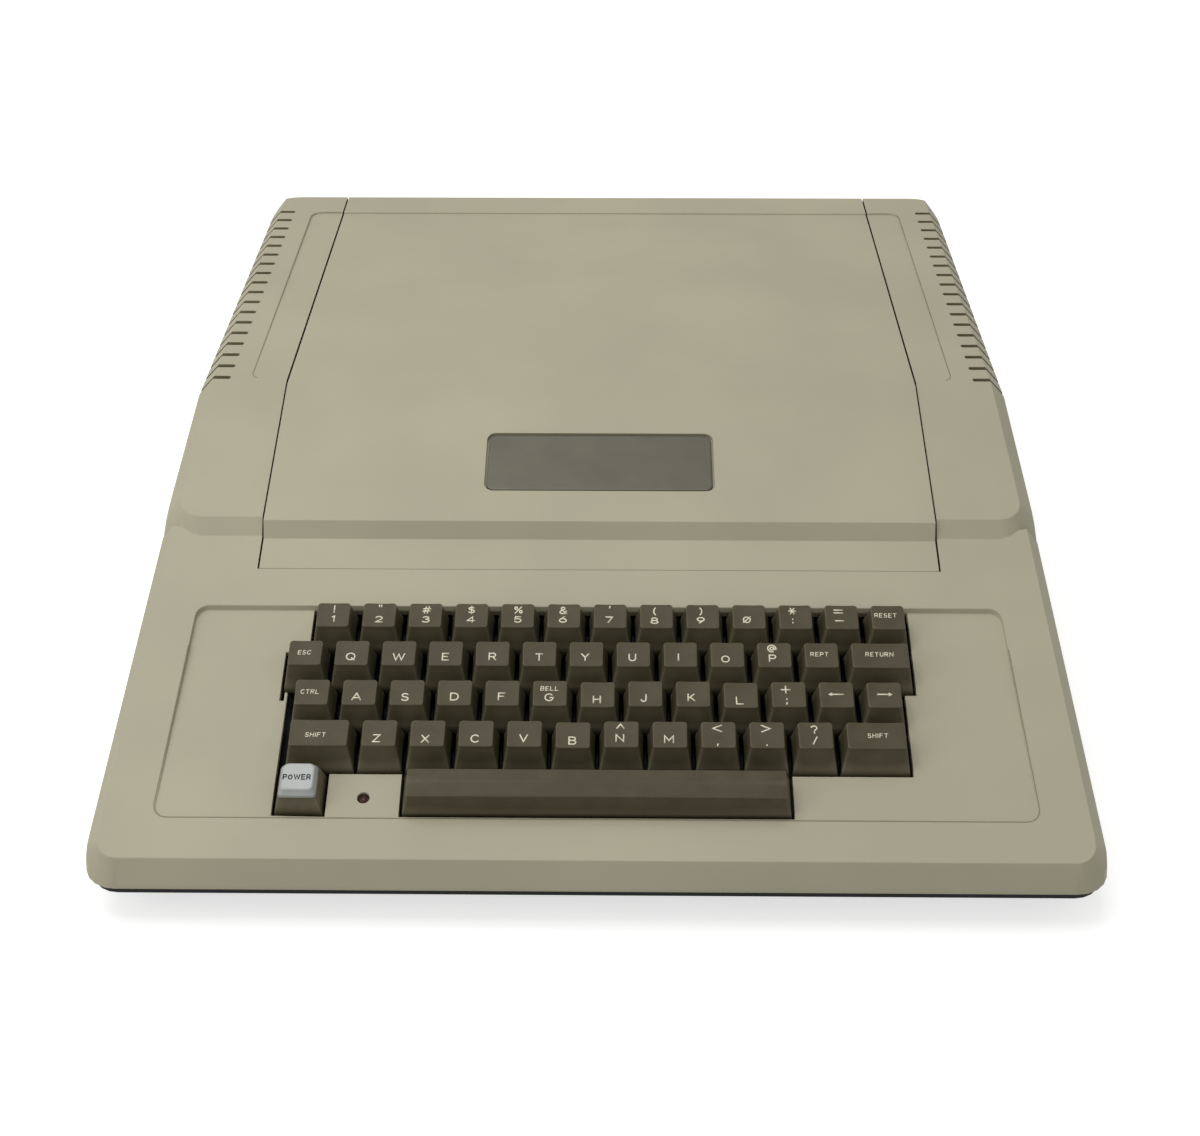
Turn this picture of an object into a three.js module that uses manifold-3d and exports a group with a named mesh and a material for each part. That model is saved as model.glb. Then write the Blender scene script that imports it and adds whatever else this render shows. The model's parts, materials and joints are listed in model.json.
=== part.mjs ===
// A home computer of the late 1970s: a wedge-shaped moulded case with the keyboard built in,
// a lift-off lid over the card slots, a power supply box and a black base pan on rubber feet.
// Millimetres. +X is to the right of the person typing, +Y to the rear, +Z up.
// The origin is on the table, under the middle of the case.
import * as THREE from 'three';
import { mergeVertices } from 'three/addons/utils/BufferGeometryUtils.js';
import Module from 'manifold-3d';

const wasm = await Module();
wasm.setup();

const degree = Math.PI / 180;

// Case: overall size
const caseWidth = 396; // across the side walls at their lower edge
const caseDepth = 457;
const caseHeight = 112.5; // the flat top over the table
const caseCorner = 14; // plan radius of the upright corners
const sideDraft = 7.25 * degree;
const endDraft = 1 * degree;
const wall = 3;
const seatGap = 0.3; // between pieces that rest on each other
const overrun = 5; // how far a cut runs past what it cuts

// Case: the side profile, each depth counted from the front face
const deckFrontHeight = 30.5;
const deckRearHeight = 77;
const deckDepth = 132.5; // to the crease where the lid starts
const deckFrontInset = 1.3; // the deck's front edge, before its bevel
const deckBevelWidth = 4.8;
const deckBevelHeight = 6.2;
const deckBevelFrontShare = 0.435; // the bevel's width at the front, against the sides
const deckCorner = 8.5;
const creaseStep = 0.12;
const browDepth = 154.1; // to the top edge of the step in front of the slope
const browHeight = 89.25;
const browBevelWidth = 6;
const browBevelHeight = 6.5;
const browBevelFrontShare = 0.715;
const browCorner = 10;
const bendDepth = 235; // where the slope meets the flat top

// Shallow field on the flat top
const fieldWidth = 324;
const fieldRearInset = 23.6; // from the rear face
const fieldFrontInset = 4; // behind the bend, where the field runs out to nothing
const fieldStep = 1.6; // depth at the rear
const fieldCorner = 6;

// Side vents
const ventCount = 18;
const ventPitch = 11.53;
const ventFirst = 238; // first slot, from the front face
const ventWidth = 2.2;
const ventReach = 8; // length on the flat top, inwards of the bevel
const ventDrop = 9;
const ventEndRadius = 0.85;

// Lid
const lidWidth = 290;
const lidGap = 0.7;
const lidLead = 2.9; // how far the lid's brow stands in front of the case's
const lipHeight = 10; // the part of the rear wall that lifts off with the lid
const ledgeThickness = 2.6;
const ledgeOuter = 5;
const ledgeInner = 6.6;
const lidRibHeight = 5;
const lidRibWidth = 2;
const lidRibSpread = 144; // between the two long ribs
const lidCrossRibs = 2;
const badgeWidth = 101;
const badgeDepth = 35; // up the slope
const badgeStep = 1.8;
const badgeCorner = 4;
const badgeInset = 17.9; // from the brow's top edge, up the slope
const lidPinRadius = 2.5;
const lidPinLength = 9;
const lidPinInset = 10; // from the lid's side edge
const lidPinRear = 18; // from the case's rear face
const lidTabDepth = 22;
const lidTabWidth = 18;
const pinHoleRadius = 3.2;

// Keyboard grid
const pitch = 19.05;
const rowCount = 5;
const gridShift = 0.4; // the keys stand this far to the right of the case's middle line
const panelInset = 20.3; // front edge of the keyboard panel, from the front face
const panelFall = 1 * degree; // the panel is this much flatter than the deck
const panelFrontStep = 0.4; // its depth under the deck at its front edge
const panelFrontWidth = 342.4;
const panelRearWidth = 336;
const panelCorner = 5;
const panelDraft = 7 * degree;
const panelMargin = 4;
const gridInset = 0.95; // from the panel's front edge to the first row's cell
const openingMargin = 0.4;
const openingRearMargin = 2.6;
const nickWidth = 1.8;
const nickDepth = 4;
const ledgeScrewInset = 8; // from the front of the first row
const ledgeScrewRadius = 2.5;
const ledgeScrewDepth = 2;

// Keycaps
const keyGap = 0.95;
const keySink = 2; // skirt below the panel face at rest
const keyRise = 9.4; // top face over the panel face
const keyWall = 1.3;
const keyFrontTaper = 6.55;
const keyRearTaper = 0.1;
const keySideTaper = 2.4;
const keyNarrowing = 0.1; // the top face is this much narrower per side at its front
const keyTopEdge = 0.5;
const keyBaseCorner = 0.6;
const keyTopCorner = 1.5;
const keyTravel = 3.8;
const spaceFrontTaper = 3;
const spaceRearTaper = 2.9;
const spaceSideTaper = 2.4;
const spaceCrown = 0.6;
const guideSpread = 100; // between the space bar's two guide stems

// Power lamp: a white cap on a dark foot, in the front row
const lampStartShare = -0.354; // its cell's left side, in grid units like a row's start
const lampUnitsShare = 1.06; // its cell's width, in grid units
const lampRise = 9.1; // the cap's top over the panel face
const capFoot = 6.3; // the cap's lower edge over the panel face
const capLip = 0.35; // how far the cap stands out over its foot
const footFrontTaper = 4;
const footRearTaper = 0.3;
const footSideTaper = 2.5;
const capFrontTaper = 1.8;
const capRearTaper = 0.4;
const capSideTaper = 1;
const capFrontCorner = 1.2;
const capRearCorner = 2.2;
const capEdge = 0.7;

// Key switches and their board
const stemWidth = 4.8;
const stemClearance = 0.3;
const stemReach = 9; // stem's lower end under the panel face at rest
const switchWidth = 14;
const switchClearance = 0.5; // between a pressed keycap and the switch plate's housings
const bottomClearance = 0.8; // under a pressed stem
const plateThickness = 1.8;
const circuitThickness = 1.6;
const plateMargin = 15.5; // plate past the row ends
const circuitMargin = 2;
const bossRadius = 4;
const screwHoleRadius = 1.5;
const panelBossInset = 5.5; // from the plate's side edge
const panelBossRow = 11; // from the plate's front and rear edges

// Base pan
const footHeight = 13;
const footRadius = 9;
const footTopRadius = 10.5;
const footInsetX = 42;
const footInsetY = 34;
const panEdge = 4.2; // pan edge that shows under the case
const panInset = 2.5; // pan edge in from the case's lower edge
const panFloor = 2.2;
const rimThickness = 2;
const rimClearance = 0.6;
const rimHeight = 4.4;
const caseBossInset = 12.5; // case screw bosses, from the side and end faces
const caseBossMiddleShare = 0.46; // of the case's depth, from the front
const panScrewRadius = 2.4;

// Main board
const boardWidth = 215.9;
const boardFrontInset = 91.4; // from the case's front face
const boardThickness = 1.6;
const boardSideInset = 20.4; // from the case's right side
const boardRearInset = 10;
const postHeight = 6;
const postRadius = 3;
const postInset = 9;
const postRows = 3;
const slotCount = 8;
const slotPitch = 20.32;
const slotLength = 76;
const slotWidth = 8.6;
const slotHeight = 14.5;
const slotThroat = 1.8;
const slotThroatDepth = 9;
const slotSideInset = 24;
const slotRearInset = 12;
const chipRows = 8;
const chipColumns = 8;
const chipLength = 20;
const chipWidth = 7;
const chipHeight = 4.2;
const chipColumnPitch = 24.5;
const chipFrontInset = 16;
const chipSlotGap = 59; // from the last row of chips to the card slots
const jackCount = 3;
const jackPitch = 20;
const jackRadius = 4.6;
const jackBore = 1.7;
const jackHoleClearance = 0.8;
const jackHeight = 8.5;
const jackSideInset = 22;
const jackBodyWidth = 12;
const jackBodyDepth = 14;
const jackRecess = 1.2; // jack's tip in from the case's rear face

// Rear wall
const notchCount = 5;
const notchPitch = 27;
const notchWidth = 15;
const notchFloor = 60; // over the table
const notchFirst = 175; // first notch, from the case's left side
const notchRadius = 6.8;
const notchFlare = 1.5; // rounding where a notch meets the wall top

// Power supply
const supplyWidth = 83;
const supplyFrontInset = 194.5; // from the case's front face
const supplyHeight = 57;
const supplySideInset = 19;
const supplySkin = 1.4;
const supplyCorner = 3;
const supplyFaceMargin = 7; // face plate in from the box's sides
const supplyFaceRecess = 1.6; // face plate behind the case's rear face
const supplyVents = 11;
const supplyVentSpanShare = 0.73; // of the box's length
const supplyVentWidth = 3.2;
const supplyVentShare = 0.6; // of the box's width and height
const flangeWidth = 4;

// Mains inlet and rocker switch on the power supply
const inletWidth = 24;
const inletHeight = 17;
const inletDepth = 16;
const inletCorner = 2.5;
const inletTopCorner = 5;
const inletOffset = 17; // to the left of the supply's middle
const pinWidth = 2;
const pinHeight = 4.4;
const pinLength = 10;
const pinSpread = 7;
const pinDrop = 2.2;
const rockerWidth = 12.4;
const rockerHalf = 9.6;
const rockerBody = 7; // behind its pivot
const rockerFace = 2.2; // in front of its pivot
const rockerTilt = 9 * degree;
const rockerOffset = 20; // to the right of the supply's middle
const rockerSideGap = 0.4;
const rockerEndGap = 1.2;
const rockerPivotDepth = 3.8; // behind the face plate
const rockerPocketDepth = 13;
const pivotRadius = 1.5;
const pivotClearance = 0.3;
const pivotReach = 1.2;

// Facets of round shapes
const cornerSteps = 5;
const roundSteps = 16;
const bossSteps = 12;
const capSteps = 3;

// Heights and places that follow from the sizes
const caseFloor = footHeight + panEdge + seatGap;
const frontY = -caseDepth / 2;
const rearY = caseDepth / 2;
const panTop = footHeight + panFloor;
const rimInset = wall + rimClearance + rimHeight * Math.tan(sideDraft);
const pocketInset = rimInset + rimThickness;
const creaseY = frontY + deckDepth;
const browY = frontY + browDepth;
const bendY = frontY + bendDepth;
const halfWidthAt = (z) => caseWidth / 2 - (z - caseFloor) * Math.tan(sideDraft);
const rearFaceAt = (z) => rearY - (z - caseFloor) * Math.tan(endDraft);

// A face of the case that slopes only from front to rear: z = plane.z + slope (y - plane.y).
const planeThrough = (yA, zA, yB, zB) => ({ y: yA, z: zA, slope: (zB - zA) / (yB - yA) });
const heightOn = (plane, y) => plane.z + plane.slope * (y - plane.y);
const lowered = (plane, drop) => ({ ...plane, z: plane.z - drop * Math.hypot(1, plane.slope) });

const deckEdgeY = frontY + deckFrontInset + deckBevelWidth * deckBevelFrontShare;
const deckPlane = planeThrough(deckEdgeY, deckFrontHeight, creaseY, deckRearHeight);
const browPlaneAt = (lead) => planeThrough(browY - lead, browHeight, bendY - lead, caseHeight);
const flatPlane = { y: bendY, z: caseHeight, slope: 0 };

// The keyboard's own frame: x along the rows, y up the panel, z out of the panel face.
const panelTilt = Math.atan(deckPlane.slope) - panelFall;
const panelFrame = new THREE.Group();
panelFrame.position.set(0, frontY + panelInset, heightOn(deckPlane, frontY + panelInset) - panelFrontStep);
panelFrame.rotation.x = panelTilt;
panelFrame.updateMatrix();
const gridDepth = rowCount * pitch;
const rowFront = (row) => gridInset + row * pitch; // row 0 is the space bar's

// Key legends by row from the front, each with its width in grid units; the number that opens a
// row is where it starts, in grid units from the number row's left end.
const rowsOfKeys = [
  [2.25, [['space', 8]]],
  [-0.25, [['shift_left', 1.5], ...'zxcvbnm'.split('').map((letter) => [letter, 1]),
    ['comma', 1], ['period', 1], ['slash', 1], ['shift_right', 1.5]]],
  [-0.25, [['ctrl', 1], ...'asdfghjkl'.split('').map((letter) => [letter, 1]),
    ['semicolon', 1], ['left', 1], ['right', 1]]],
  [-0.5, [['esc', 1], ...'qwertyuiop'.split('').map((letter) => [letter, 1]),
    ['rept', 1], ['return', 1.5]]],
  [0, [...'1234567890'.split('').map((digit) => [digit, 1]),
    ['colon', 1], ['minus', 1], ['reset', 1]]],
];
const spaceShare = rowsOfKeys[0][0] + rowsOfKeys[0][1][0][1] / 2; // the space bar's middle
const columnX = (units) => gridShift + (units - spaceShare) * pitch;

const keys = rowsOfKeys.flatMap(([start, row], rowIndex) => {
  let left = start;
  return row.map(([name, units]) => {
    const key = { name, units, row: rowIndex, left: columnX(left), right: columnX(left + units) };
    left += units;
    return key;
  });
});
const lamp = {
  name: 'lamp',
  units: lampUnitsShare,
  row: 0,
  left: columnX(lampStartShare),
  right: columnX(lampStartShare + lampUnitsShare),
};

// Solids and meshes

function solidOf(geometry) {
  const bare = geometry.clone();
  bare.deleteAttribute('normal');
  bare.deleteAttribute('uv');
  const merged = mergeVertices(bare);
  return new wasm.Manifold(new wasm.Mesh({
    numProp: 3,
    vertProperties: merged.attributes.position.array,
    triVerts: new Uint32Array(merged.index.array),
  }));
}

function meshOf(name, solid, material) {
  const { vertProperties, triVerts } = solid.getMesh();
  const geometry = new THREE.BufferGeometry();
  geometry.setAttribute('position', new THREE.BufferAttribute(vertProperties, 3));
  geometry.setIndex(new THREE.BufferAttribute(triVerts, 1));
  geometry.computeVertexNormals();
  const mesh = new THREE.Mesh(geometry, material);
  mesh.name = name;
  return mesh;
}

const joined = (solids) => solids.reduce((sum, next) => sum.add(next));
const without = (solid, cuts) => cuts.reduce((rest, cut) => rest.subtract(cut), solid);
const inWorld = (solid) => solid.transform(panelFrame.matrix.elements);

function block(x, y, z) {
  const size = new THREE.BoxGeometry(x[1] - x[0], y[1] - y[0], z[1] - z[0]);
  return solidOf(size.translate((x[0] + x[1]) / 2, (y[0] + y[1]) / 2, (z[0] + z[1]) / 2));
}

const about = (middle, width) => [middle - width / 2, middle + width / 2];

// An upright cylinder or cone from z[0] to z[1].
function post(x, y, z, lowRadius, highRadius = lowRadius, steps = bossSteps) {
  const shape = new THREE.CylinderGeometry(highRadius, lowRadius, z[1] - z[0], steps);
  shape.rotateX(Math.PI / 2);
  return solidOf(shape.translate(x, y, (z[0] + z[1]) / 2));
}

// A cylinder that runs front to rear.
function rod(x, y, z, radius, steps = bossSteps) {
  const shape = new THREE.CylinderGeometry(radius, radius, y[1] - y[0], steps);
  return solidOf(shape.translate(x, (y[0] + y[1]) / 2, z));
}

// Rounds an outline's corners. A corner is {x, y, r}; one with r = 0 stays sharp.
function rounded(corners, steps = cornerSteps) {
  return corners.flatMap((corner, i) => {
    const here = new THREE.Vector2(corner.x, corner.y);
    if (!corner.r) return [here];
    const before = corners[(i + corners.length - 1) % corners.length];
    const after = corners[(i + 1) % corners.length];
    const back = new THREE.Vector2(before.x, before.y).sub(here).normalize();
    const ahead = new THREE.Vector2(after.x, after.y).sub(here).normalize();
    const half = Math.acos(back.dot(ahead)) / 2;
    const middle = back.clone().add(ahead).normalize().multiplyScalar(corner.r / Math.sin(half)).add(here);
    const start = here.clone().addScaledVector(back, corner.r / Math.tan(half)).sub(middle);
    const turn = Math.sign(ahead.cross(back)) * (Math.PI - 2 * half);
    return Array.from({ length: steps + 1 }, (_, step) => (
      start.clone().rotateAround(new THREE.Vector2(), turn * step / steps).add(middle)));
  });
}

// The corners of a four-sided outline, wider or narrower at its rear, counted anticlockwise from above.
function fourCorners({ front, rear, frontHalf, rearHalf, frontRadius, rearRadius, middle = 0 }) {
  return [
    { x: middle - frontHalf, y: front, r: frontRadius },
    { x: middle + frontHalf, y: front, r: frontRadius },
    { x: middle + rearHalf, y: rear, r: rearRadius },
    { x: middle - rearHalf, y: rear, r: rearRadius },
  ];
}

// The same outline grown outwards by a distance, at its front by a share of it.
function grown(outline, distance, frontShare = 1) {
  return {
    ...outline,
    front: outline.front - distance * frontShare,
    rear: outline.rear + distance,
    frontHalf: outline.frontHalf + distance,
    rearHalf: outline.rearHalf + distance,
    frontRadius: outline.frontRadius + distance,
    rearRadius: outline.rearRadius + distance,
  };
}

const ring = (points, heightAt) => points.map(({ x, y }) => new THREE.Vector3(x, y, heightAt(y)));

// A closed solid through rings of as many points each, lowest ring first.
function loft(rings) {
  const count = rings[0].length;
  const faces = [];
  for (let level = 1; level < rings.length; level += 1) {
    for (let i = 0; i < count; i += 1) {
      const low = (level - 1) * count + i;
      const lowNext = (level - 1) * count + (i + 1) % count;
      faces.push(low, lowNext, lowNext + count, low, lowNext + count, low + count);
    }
  }
  const flat = rings[0].map(({ x, y }) => new THREE.Vector2(x, y));
  const top = (rings.length - 1) * count;
  THREE.ShapeUtils.triangulateShape(flat, []).forEach(([a, b, c]) => {
    faces.push(a, c, b, top + a, top + b, top + c);
  });
  const geometry = new THREE.BufferGeometry().setFromPoints(rings.flat());
  geometry.setIndex(faces);
  return solidOf(geometry);
}

// An outline in x and y pushed up from z[0] to z[1].
const prism = (points, z) => loft([ring(points, () => z[0]), ring(points, () => z[1])]);

// A side profile of {y, z} points, anticlockwise seen from +X, carried across from x[0] to x[1].
function profileBar(points, x) {
  const shape = new THREE.Shape(points.map(({ y, z }) => new THREE.Vector2(y, z)));
  const bar = new THREE.ExtrudeGeometry(shape, { depth: x[1] - x[0], bevelEnabled: false });
  bar.rotateX(Math.PI / 2).rotateZ(Math.PI / 2);
  return solidOf(bar.translate(x[0], 0, 0));
}

// Case

// All that lies under one face of the case and inside the bevel round it. A positive drop
// moves the face and its bevel inwards, for the inside of the shell.
function underFace(face, drop) {
  const { plane, bevelWidth, bevelHeight, frontShare, outline } = face;
  const bevelInset = bevelWidth + drop * (Math.hypot(bevelWidth, bevelHeight) - bevelWidth) / bevelHeight;
  const top = lowered(plane, drop);
  const depth = caseHeight + caseDepth;
  const flare = depth * bevelWidth / bevelHeight - bevelInset;
  const upper = rounded(fourCorners(grown(outline, -bevelInset, frontShare)));
  const lower = rounded(fourCorners(grown(outline, flare, frontShare)));
  return loft([ring(lower, (y) => heightOn(top, y) - depth), ring(upper, (y) => heightOn(top, y))]);
}

function faceOutline(plane, front, rear, radius) {
  return {
    front,
    rear,
    frontHalf: halfWidthAt(heightOn(plane, front)),
    rearHalf: halfWidthAt(heightOn(plane, rear)),
    frontRadius: radius,
    rearRadius: radius,
  };
}

// The deck runs on under the step; behind the crease it lies a trace lower.
const deckFace = {
  plane: deckPlane,
  bevelWidth: deckBevelWidth,
  bevelHeight: deckBevelHeight,
  frontShare: deckBevelFrontShare,
  outline: faceOutline(deckPlane, frontY + deckFrontInset, rearY + caseDepth, deckCorner + deckBevelWidth),
};
const flatFace = {
  plane: flatPlane,
  bevelWidth: browBevelWidth,
  bevelHeight: browBevelHeight,
  frontShare: 1,
  outline: faceOutline(flatPlane, frontY - caseDepth, rearY + caseDepth, browCorner + browBevelWidth),
};

// The slope behind the brow. The lid's own stands a lead in front of the case's.
function slopeFace(lead) {
  const plane = browPlaneAt(lead);
  const front = browY - lead - browBevelWidth * browBevelFrontShare;
  return {
    plane,
    bevelWidth: browBevelWidth,
    bevelHeight: browBevelHeight,
    frontShare: browBevelFrontShare,
    outline: faceOutline(plane, front, rearY + caseDepth, browCorner + browBevelWidth),
  };
}

// What lies above the deck behind the crease, a trace's depth down.
function aboveStrip(drop) {
  const top = lowered(deckPlane, drop + creaseStep);
  const front = creaseY + drop;
  const rear = bendY + overrun;
  return profileBar([
    { y: front, z: heightOn(top, front) },
    { y: rear, z: heightOn(top, rear) },
    { y: rear, z: heightOn(top, rear) + overrun },
    { y: front, z: heightOn(top, front) + overrun },
  ], about(0, caseWidth + overrun));
}

function underSkin(drop, lead = 0) {
  const inFrontOfBrow = block(about(0, caseWidth), [frontY, browY], [0, caseHeight]);
  const deck = underFace(deckFace, drop).subtract(aboveStrip(drop)).intersect(inFrontOfBrow);
  return deck.add(underFace(slopeFace(lead), drop).intersect(underFace(flatFace, drop)));
}

// The drafted walls as a solid, moved in by an inset, from the given height up.
function withinWalls(inset, bottom) {
  const rings = [bottom, caseHeight + overrun].map((z) => {
    const ends = rearFaceAt(z) - inset;
    const half = halfWidthAt(z) - inset;
    const radius = caseCorner - inset;
    const corners = fourCorners({
      front: -ends, rear: ends, frontHalf: half, rearHalf: half, frontRadius: radius, rearRadius: radius,
    });
    return ring(rounded(corners), () => z);
  });
  return loft(rings);
}

// The space that the lid fills, grown by a margin: the top from the crease back, and the lip.
function lidZone(margin) {
  const across = about(0, lidWidth + 2 * margin);
  const lipRoot = rearY - 2 * wall;
  const front = creaseY - margin;
  return block(across, [front, lipRoot], [notchFloor, caseHeight + overrun])
    .add(block(across, [front, rearY + overrun], [caseHeight - lipHeight - margin, caseHeight + overrun]));
}

// The step down into the shallow field on the flat top, deepest at the rear.
function topField() {
  const rear = rearY - fieldRearInset;
  const front = bendY + fieldFrontInset;
  const half = fieldWidth / 2;
  const floor = planeThrough(front, caseHeight, rear, caseHeight - fieldStep);
  const points = rounded(fourCorners({
    front: front - overrun, rear, frontHalf: half, rearHalf: half, frontRadius: 0, rearRadius: fieldCorner,
  }));
  return loft([ring(points, (y) => heightOn(floor, y)), ring(points, () => caseHeight + overrun)]);
}

function sideVents() {
  const inner = halfWidthAt(caseHeight) - browBevelWidth - ventReach;
  const outer = caseWidth / 2 + overrun;
  const bottom = caseHeight - ventDrop;
  const ends = about(0, ventWidth);
  return Array.from({ length: ventCount }, (_, i) => {
    const y = frontY + ventFirst + i * ventPitch;
    const points = rounded([
      { x: inner, y: y + ends[0], r: ventEndRadius },
      { x: outer, y: y + ends[0], r: 0 },
      { x: outer, y: y + ends[1], r: 0 },
      { x: inner, y: y + ends[1], r: ventEndRadius },
    ], 2);
    const slot = prism(points, [bottom, caseHeight + overrun]);
    return slot.add(slot.mirror([1, 0, 0]));
  });
}

// The panel round the keyboard, grown outwards by a margin, as an outline in the case's frame.
const panelOutline = (margin) => grown({
  front: frontY + panelInset,
  rear: panelFrame.position.y + (gridInset + gridDepth + openingRearMargin) * Math.cos(panelTilt),
  frontHalf: panelFrontWidth / 2,
  rearHalf: panelRearWidth / 2,
  frontRadius: panelCorner,
  rearRadius: panelCorner,
}, margin);

const panelPlane = { y: panelFrame.position.y, z: panelFrame.position.z, slope: Math.tan(panelTilt) };

function panelPocket() {
  const flare = overrun * Math.tan(panelDraft);
  const floor = rounded(fourCorners(panelOutline(0)));
  const mouth = rounded(fourCorners(panelOutline(flare)));
  return loft([
    ring(floor, (y) => heightOn(panelPlane, y)),
    ring(mouth, (y) => heightOn(panelPlane, y) + overrun),
  ]);
}

function panelSlab() {
  const points = rounded(fourCorners(panelOutline(panelMargin)));
  const under = lowered(panelPlane, wall);
  return loft([ring(points, (y) => heightOn(under, y)), ring(points, (y) => heightOn(panelPlane, y))]);
}

// The stepped hole that the keys stand in, row by row, with the small nick left of the second row.
function keyOpening() {
  const reach = [-wall - overrun, overrun];
  const cell = (left, right, row) => {
    const behind = row === rowCount - 1 ? openingRearMargin : openingMargin;
    const depth = [rowFront(row) - openingMargin, rowFront(row + 1) + behind];
    return block([left - openingMargin, right + openingMargin], depth, reach);
  };
  const rows = rowsOfKeys.map((_, row) => {
    const inRow = keys.filter((key) => key.row === row);
    return cell(inRow[0].left, inRow[inRow.length - 1].right, row);
  });
  const escape = keys.find((key) => key.name === 'esc');
  const nickX = escape.left - openingMargin;
  const nickY = rowFront(escape.row) - openingMargin;
  const nick = block([nickX, nickX + nickWidth], [nickY - nickDepth, nickY + overrun], reach);
  return inWorld(joined([...rows, cell(lamp.left, lamp.right, lamp.row), nick]));
}

// Ledges that the lid's edges rest on: flush under the case's skin outside the lid, a gap lower inside.
function lidLedges() {
  const low = wall + seatGap + ledgeThickness;
  const outside = underSkin(wall - seatGap).subtract(underSkin(low))
    .intersect(lidZone(ledgeOuter).subtract(lidZone(lidGap / 2)));
  const inside = underSkin(wall + seatGap).subtract(underSkin(low))
    .intersect(lidZone(lidGap).subtract(lidZone(-ledgeInner)));
  const front = block(
    about(0, caseWidth),
    [frontY, rearY - 2 * wall - overrun],
    [0, caseHeight],
  );
  return outside.add(inside).intersect(front).intersect(withinWalls(wall / 2, 0));
}

const lidPinX = lidWidth / 2 - lidPinInset;
const lidPinY = rearY - lidPinRear;

// Corner tabs on the ledges, with the holes that the lid's pins drop into.
function lidTabs() {
  const top = caseHeight - wall - seatGap;
  const side = lidWidth / 2 + ledgeOuter;
  const tab = block([side - lidTabWidth, side], about(lidPinY, lidTabDepth), [top - ledgeThickness, top])
    .intersect(underSkin(wall + seatGap));
  const hole = post(lidPinX, lidPinY, [0, caseHeight], pinHoleRadius);
  const pierced = tab.subtract(hole);
  return { tabs: pierced.add(pierced.mirror([1, 0, 0])), holes: hole.add(hole.mirror([1, 0, 0])) };
}

const caseBossX = caseWidth / 2 - caseBossInset;
const caseBossPlaces = [
  frontY + caseBossInset,
  frontY + caseBossMiddleShare * caseDepth,
  rearY - caseBossInset,
].flatMap((y) => [[-caseBossX, y], [caseBossX, y]]);

// Screw bosses from the skin down to the base pan, and from the panel down to the switch plate.
function caseBosses() {
  const legs = caseBossPlaces.map(([x, y]) => post(x, y, [panTop + seatGap, caseHeight], bossRadius)
    .subtract(post(x, y, [0, caseFloor + rimHeight], screwHoleRadius)));
  return joined(legs).intersect(underSkin(wall / 2));
}

const housingTop = -(keySink + keyTravel + switchClearance);
const plateTop = -(stemReach + keyTravel + bottomClearance);
const plateX = [
  Math.min(...keys.map((key) => key.left)) - plateMargin,
  Math.max(...keys.map((key) => key.right)) + plateMargin,
];
const plateY = [gridInset, gridInset + gridDepth];
const panelBossPlaces = plateX.flatMap((x, side) => plateY.map((y, end) => [
  x + (side ? -panelBossInset : panelBossInset),
  y + (end ? -panelBossRow : panelBossRow),
]));
const ledgeScrew = [
  (lamp.right + keys[0].left) / 2,
  rowFront(0) + ledgeScrewInset,
];

function panelBosses() {
  const legs = [...panelBossPlaces, ledgeScrew].map(([x, y]) => (
    post(x, y, [plateTop + seatGap, -wall / 2], bossRadius)));
  return inWorld(joined(legs));
}

function ledgeScrewHole() {
  const [x, y] = ledgeScrew;
  return inWorld(post(x, y, [-ledgeScrewDepth, overrun], ledgeScrewRadius)
    .add(post(x, y, [-wall - overrun, 0], screwHoleRadius)));
}

// Places on the rear of the case
const notchX = (i) => -caseWidth / 2 + notchFirst + i * notchPitch;
const boardRight = caseWidth / 2 - boardSideInset;
const boardLeft = boardRight - boardWidth;
const boardRear = rearY - boardRearInset;
const boardFront = frontY + boardFrontInset;
const boardDepth = boardRear - boardFront;
const boardUnder = panTop + postHeight + seatGap;
const boardTop = boardUnder + boardThickness;
const jackX = (i) => boardRight - jackSideInset - i * jackPitch;
const jackZ = boardTop + jackHeight;
const supplyX = [-caseWidth / 2 + supplySideInset, -caseWidth / 2 + supplySideInset + supplyWidth];
const supplyMiddle = (supplyX[0] + supplyX[1]) / 2;
const supplyZ = [panTop + seatGap, panTop + seatGap + supplyHeight];
const supplyRear = rearY - pocketInset - seatGap;
const supplyFront = frontY + supplyFrontInset;
const faceX = [supplyX[0] + supplyFaceMargin, supplyX[1] - supplyFaceMargin];
const faceZ = [supplyZ[0] + supplyFaceMargin, supplyZ[1] - supplyFaceMargin];
const faceRear = rearY - supplyFaceRecess;

function rearOpenings() {
  const through = [rearY - 2 * wall - overrun / 2, rearY + overrun];
  const top = caseHeight - lipHeight;
  const notches = Array.from({ length: notchCount }, (_, i) => {
    const [left, right] = about(notchX(i), notchWidth);
    const shape = new THREE.Shape(rounded([
      { x: left, y: notchFloor, r: notchRadius },
      { x: right, y: notchFloor, r: notchRadius },
      { x: right, y: top - notchFlare, r: 0 },
      { x: right + notchFlare, y: top + overrun, r: 0 },
      { x: left - notchFlare, y: top + overrun, r: 0 },
      { x: left, y: top - notchFlare, r: 0 },
    ]));
    const cut = new THREE.ExtrudeGeometry(shape, { depth: through[1] - through[0], bevelEnabled: false });
    return solidOf(cut.rotateX(Math.PI / 2).translate(0, through[1], 0));
  });
  const window = block(
    [faceX[0] - lidGap, faceX[1] + lidGap],
    through,
    [faceZ[0] - lidGap, faceZ[1] + lidGap],
  );
  const jackHoles = Array.from({ length: jackCount }, (_, i) => (
    rod(jackX(i), through, jackZ, jackRadius + jackHoleClearance, roundSteps)));
  return [...notches, window, ...jackHoles];
}

// The moulding before the lid is parted from the case.
function moulding(lead) {
  const outside = underSkin(0, lead).intersect(withinWalls(0, caseFloor));
  const inside = underSkin(wall, lead).intersect(withinWalls(wall, 0));
  return without(outside.subtract(inside), [topField()]);
}

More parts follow.
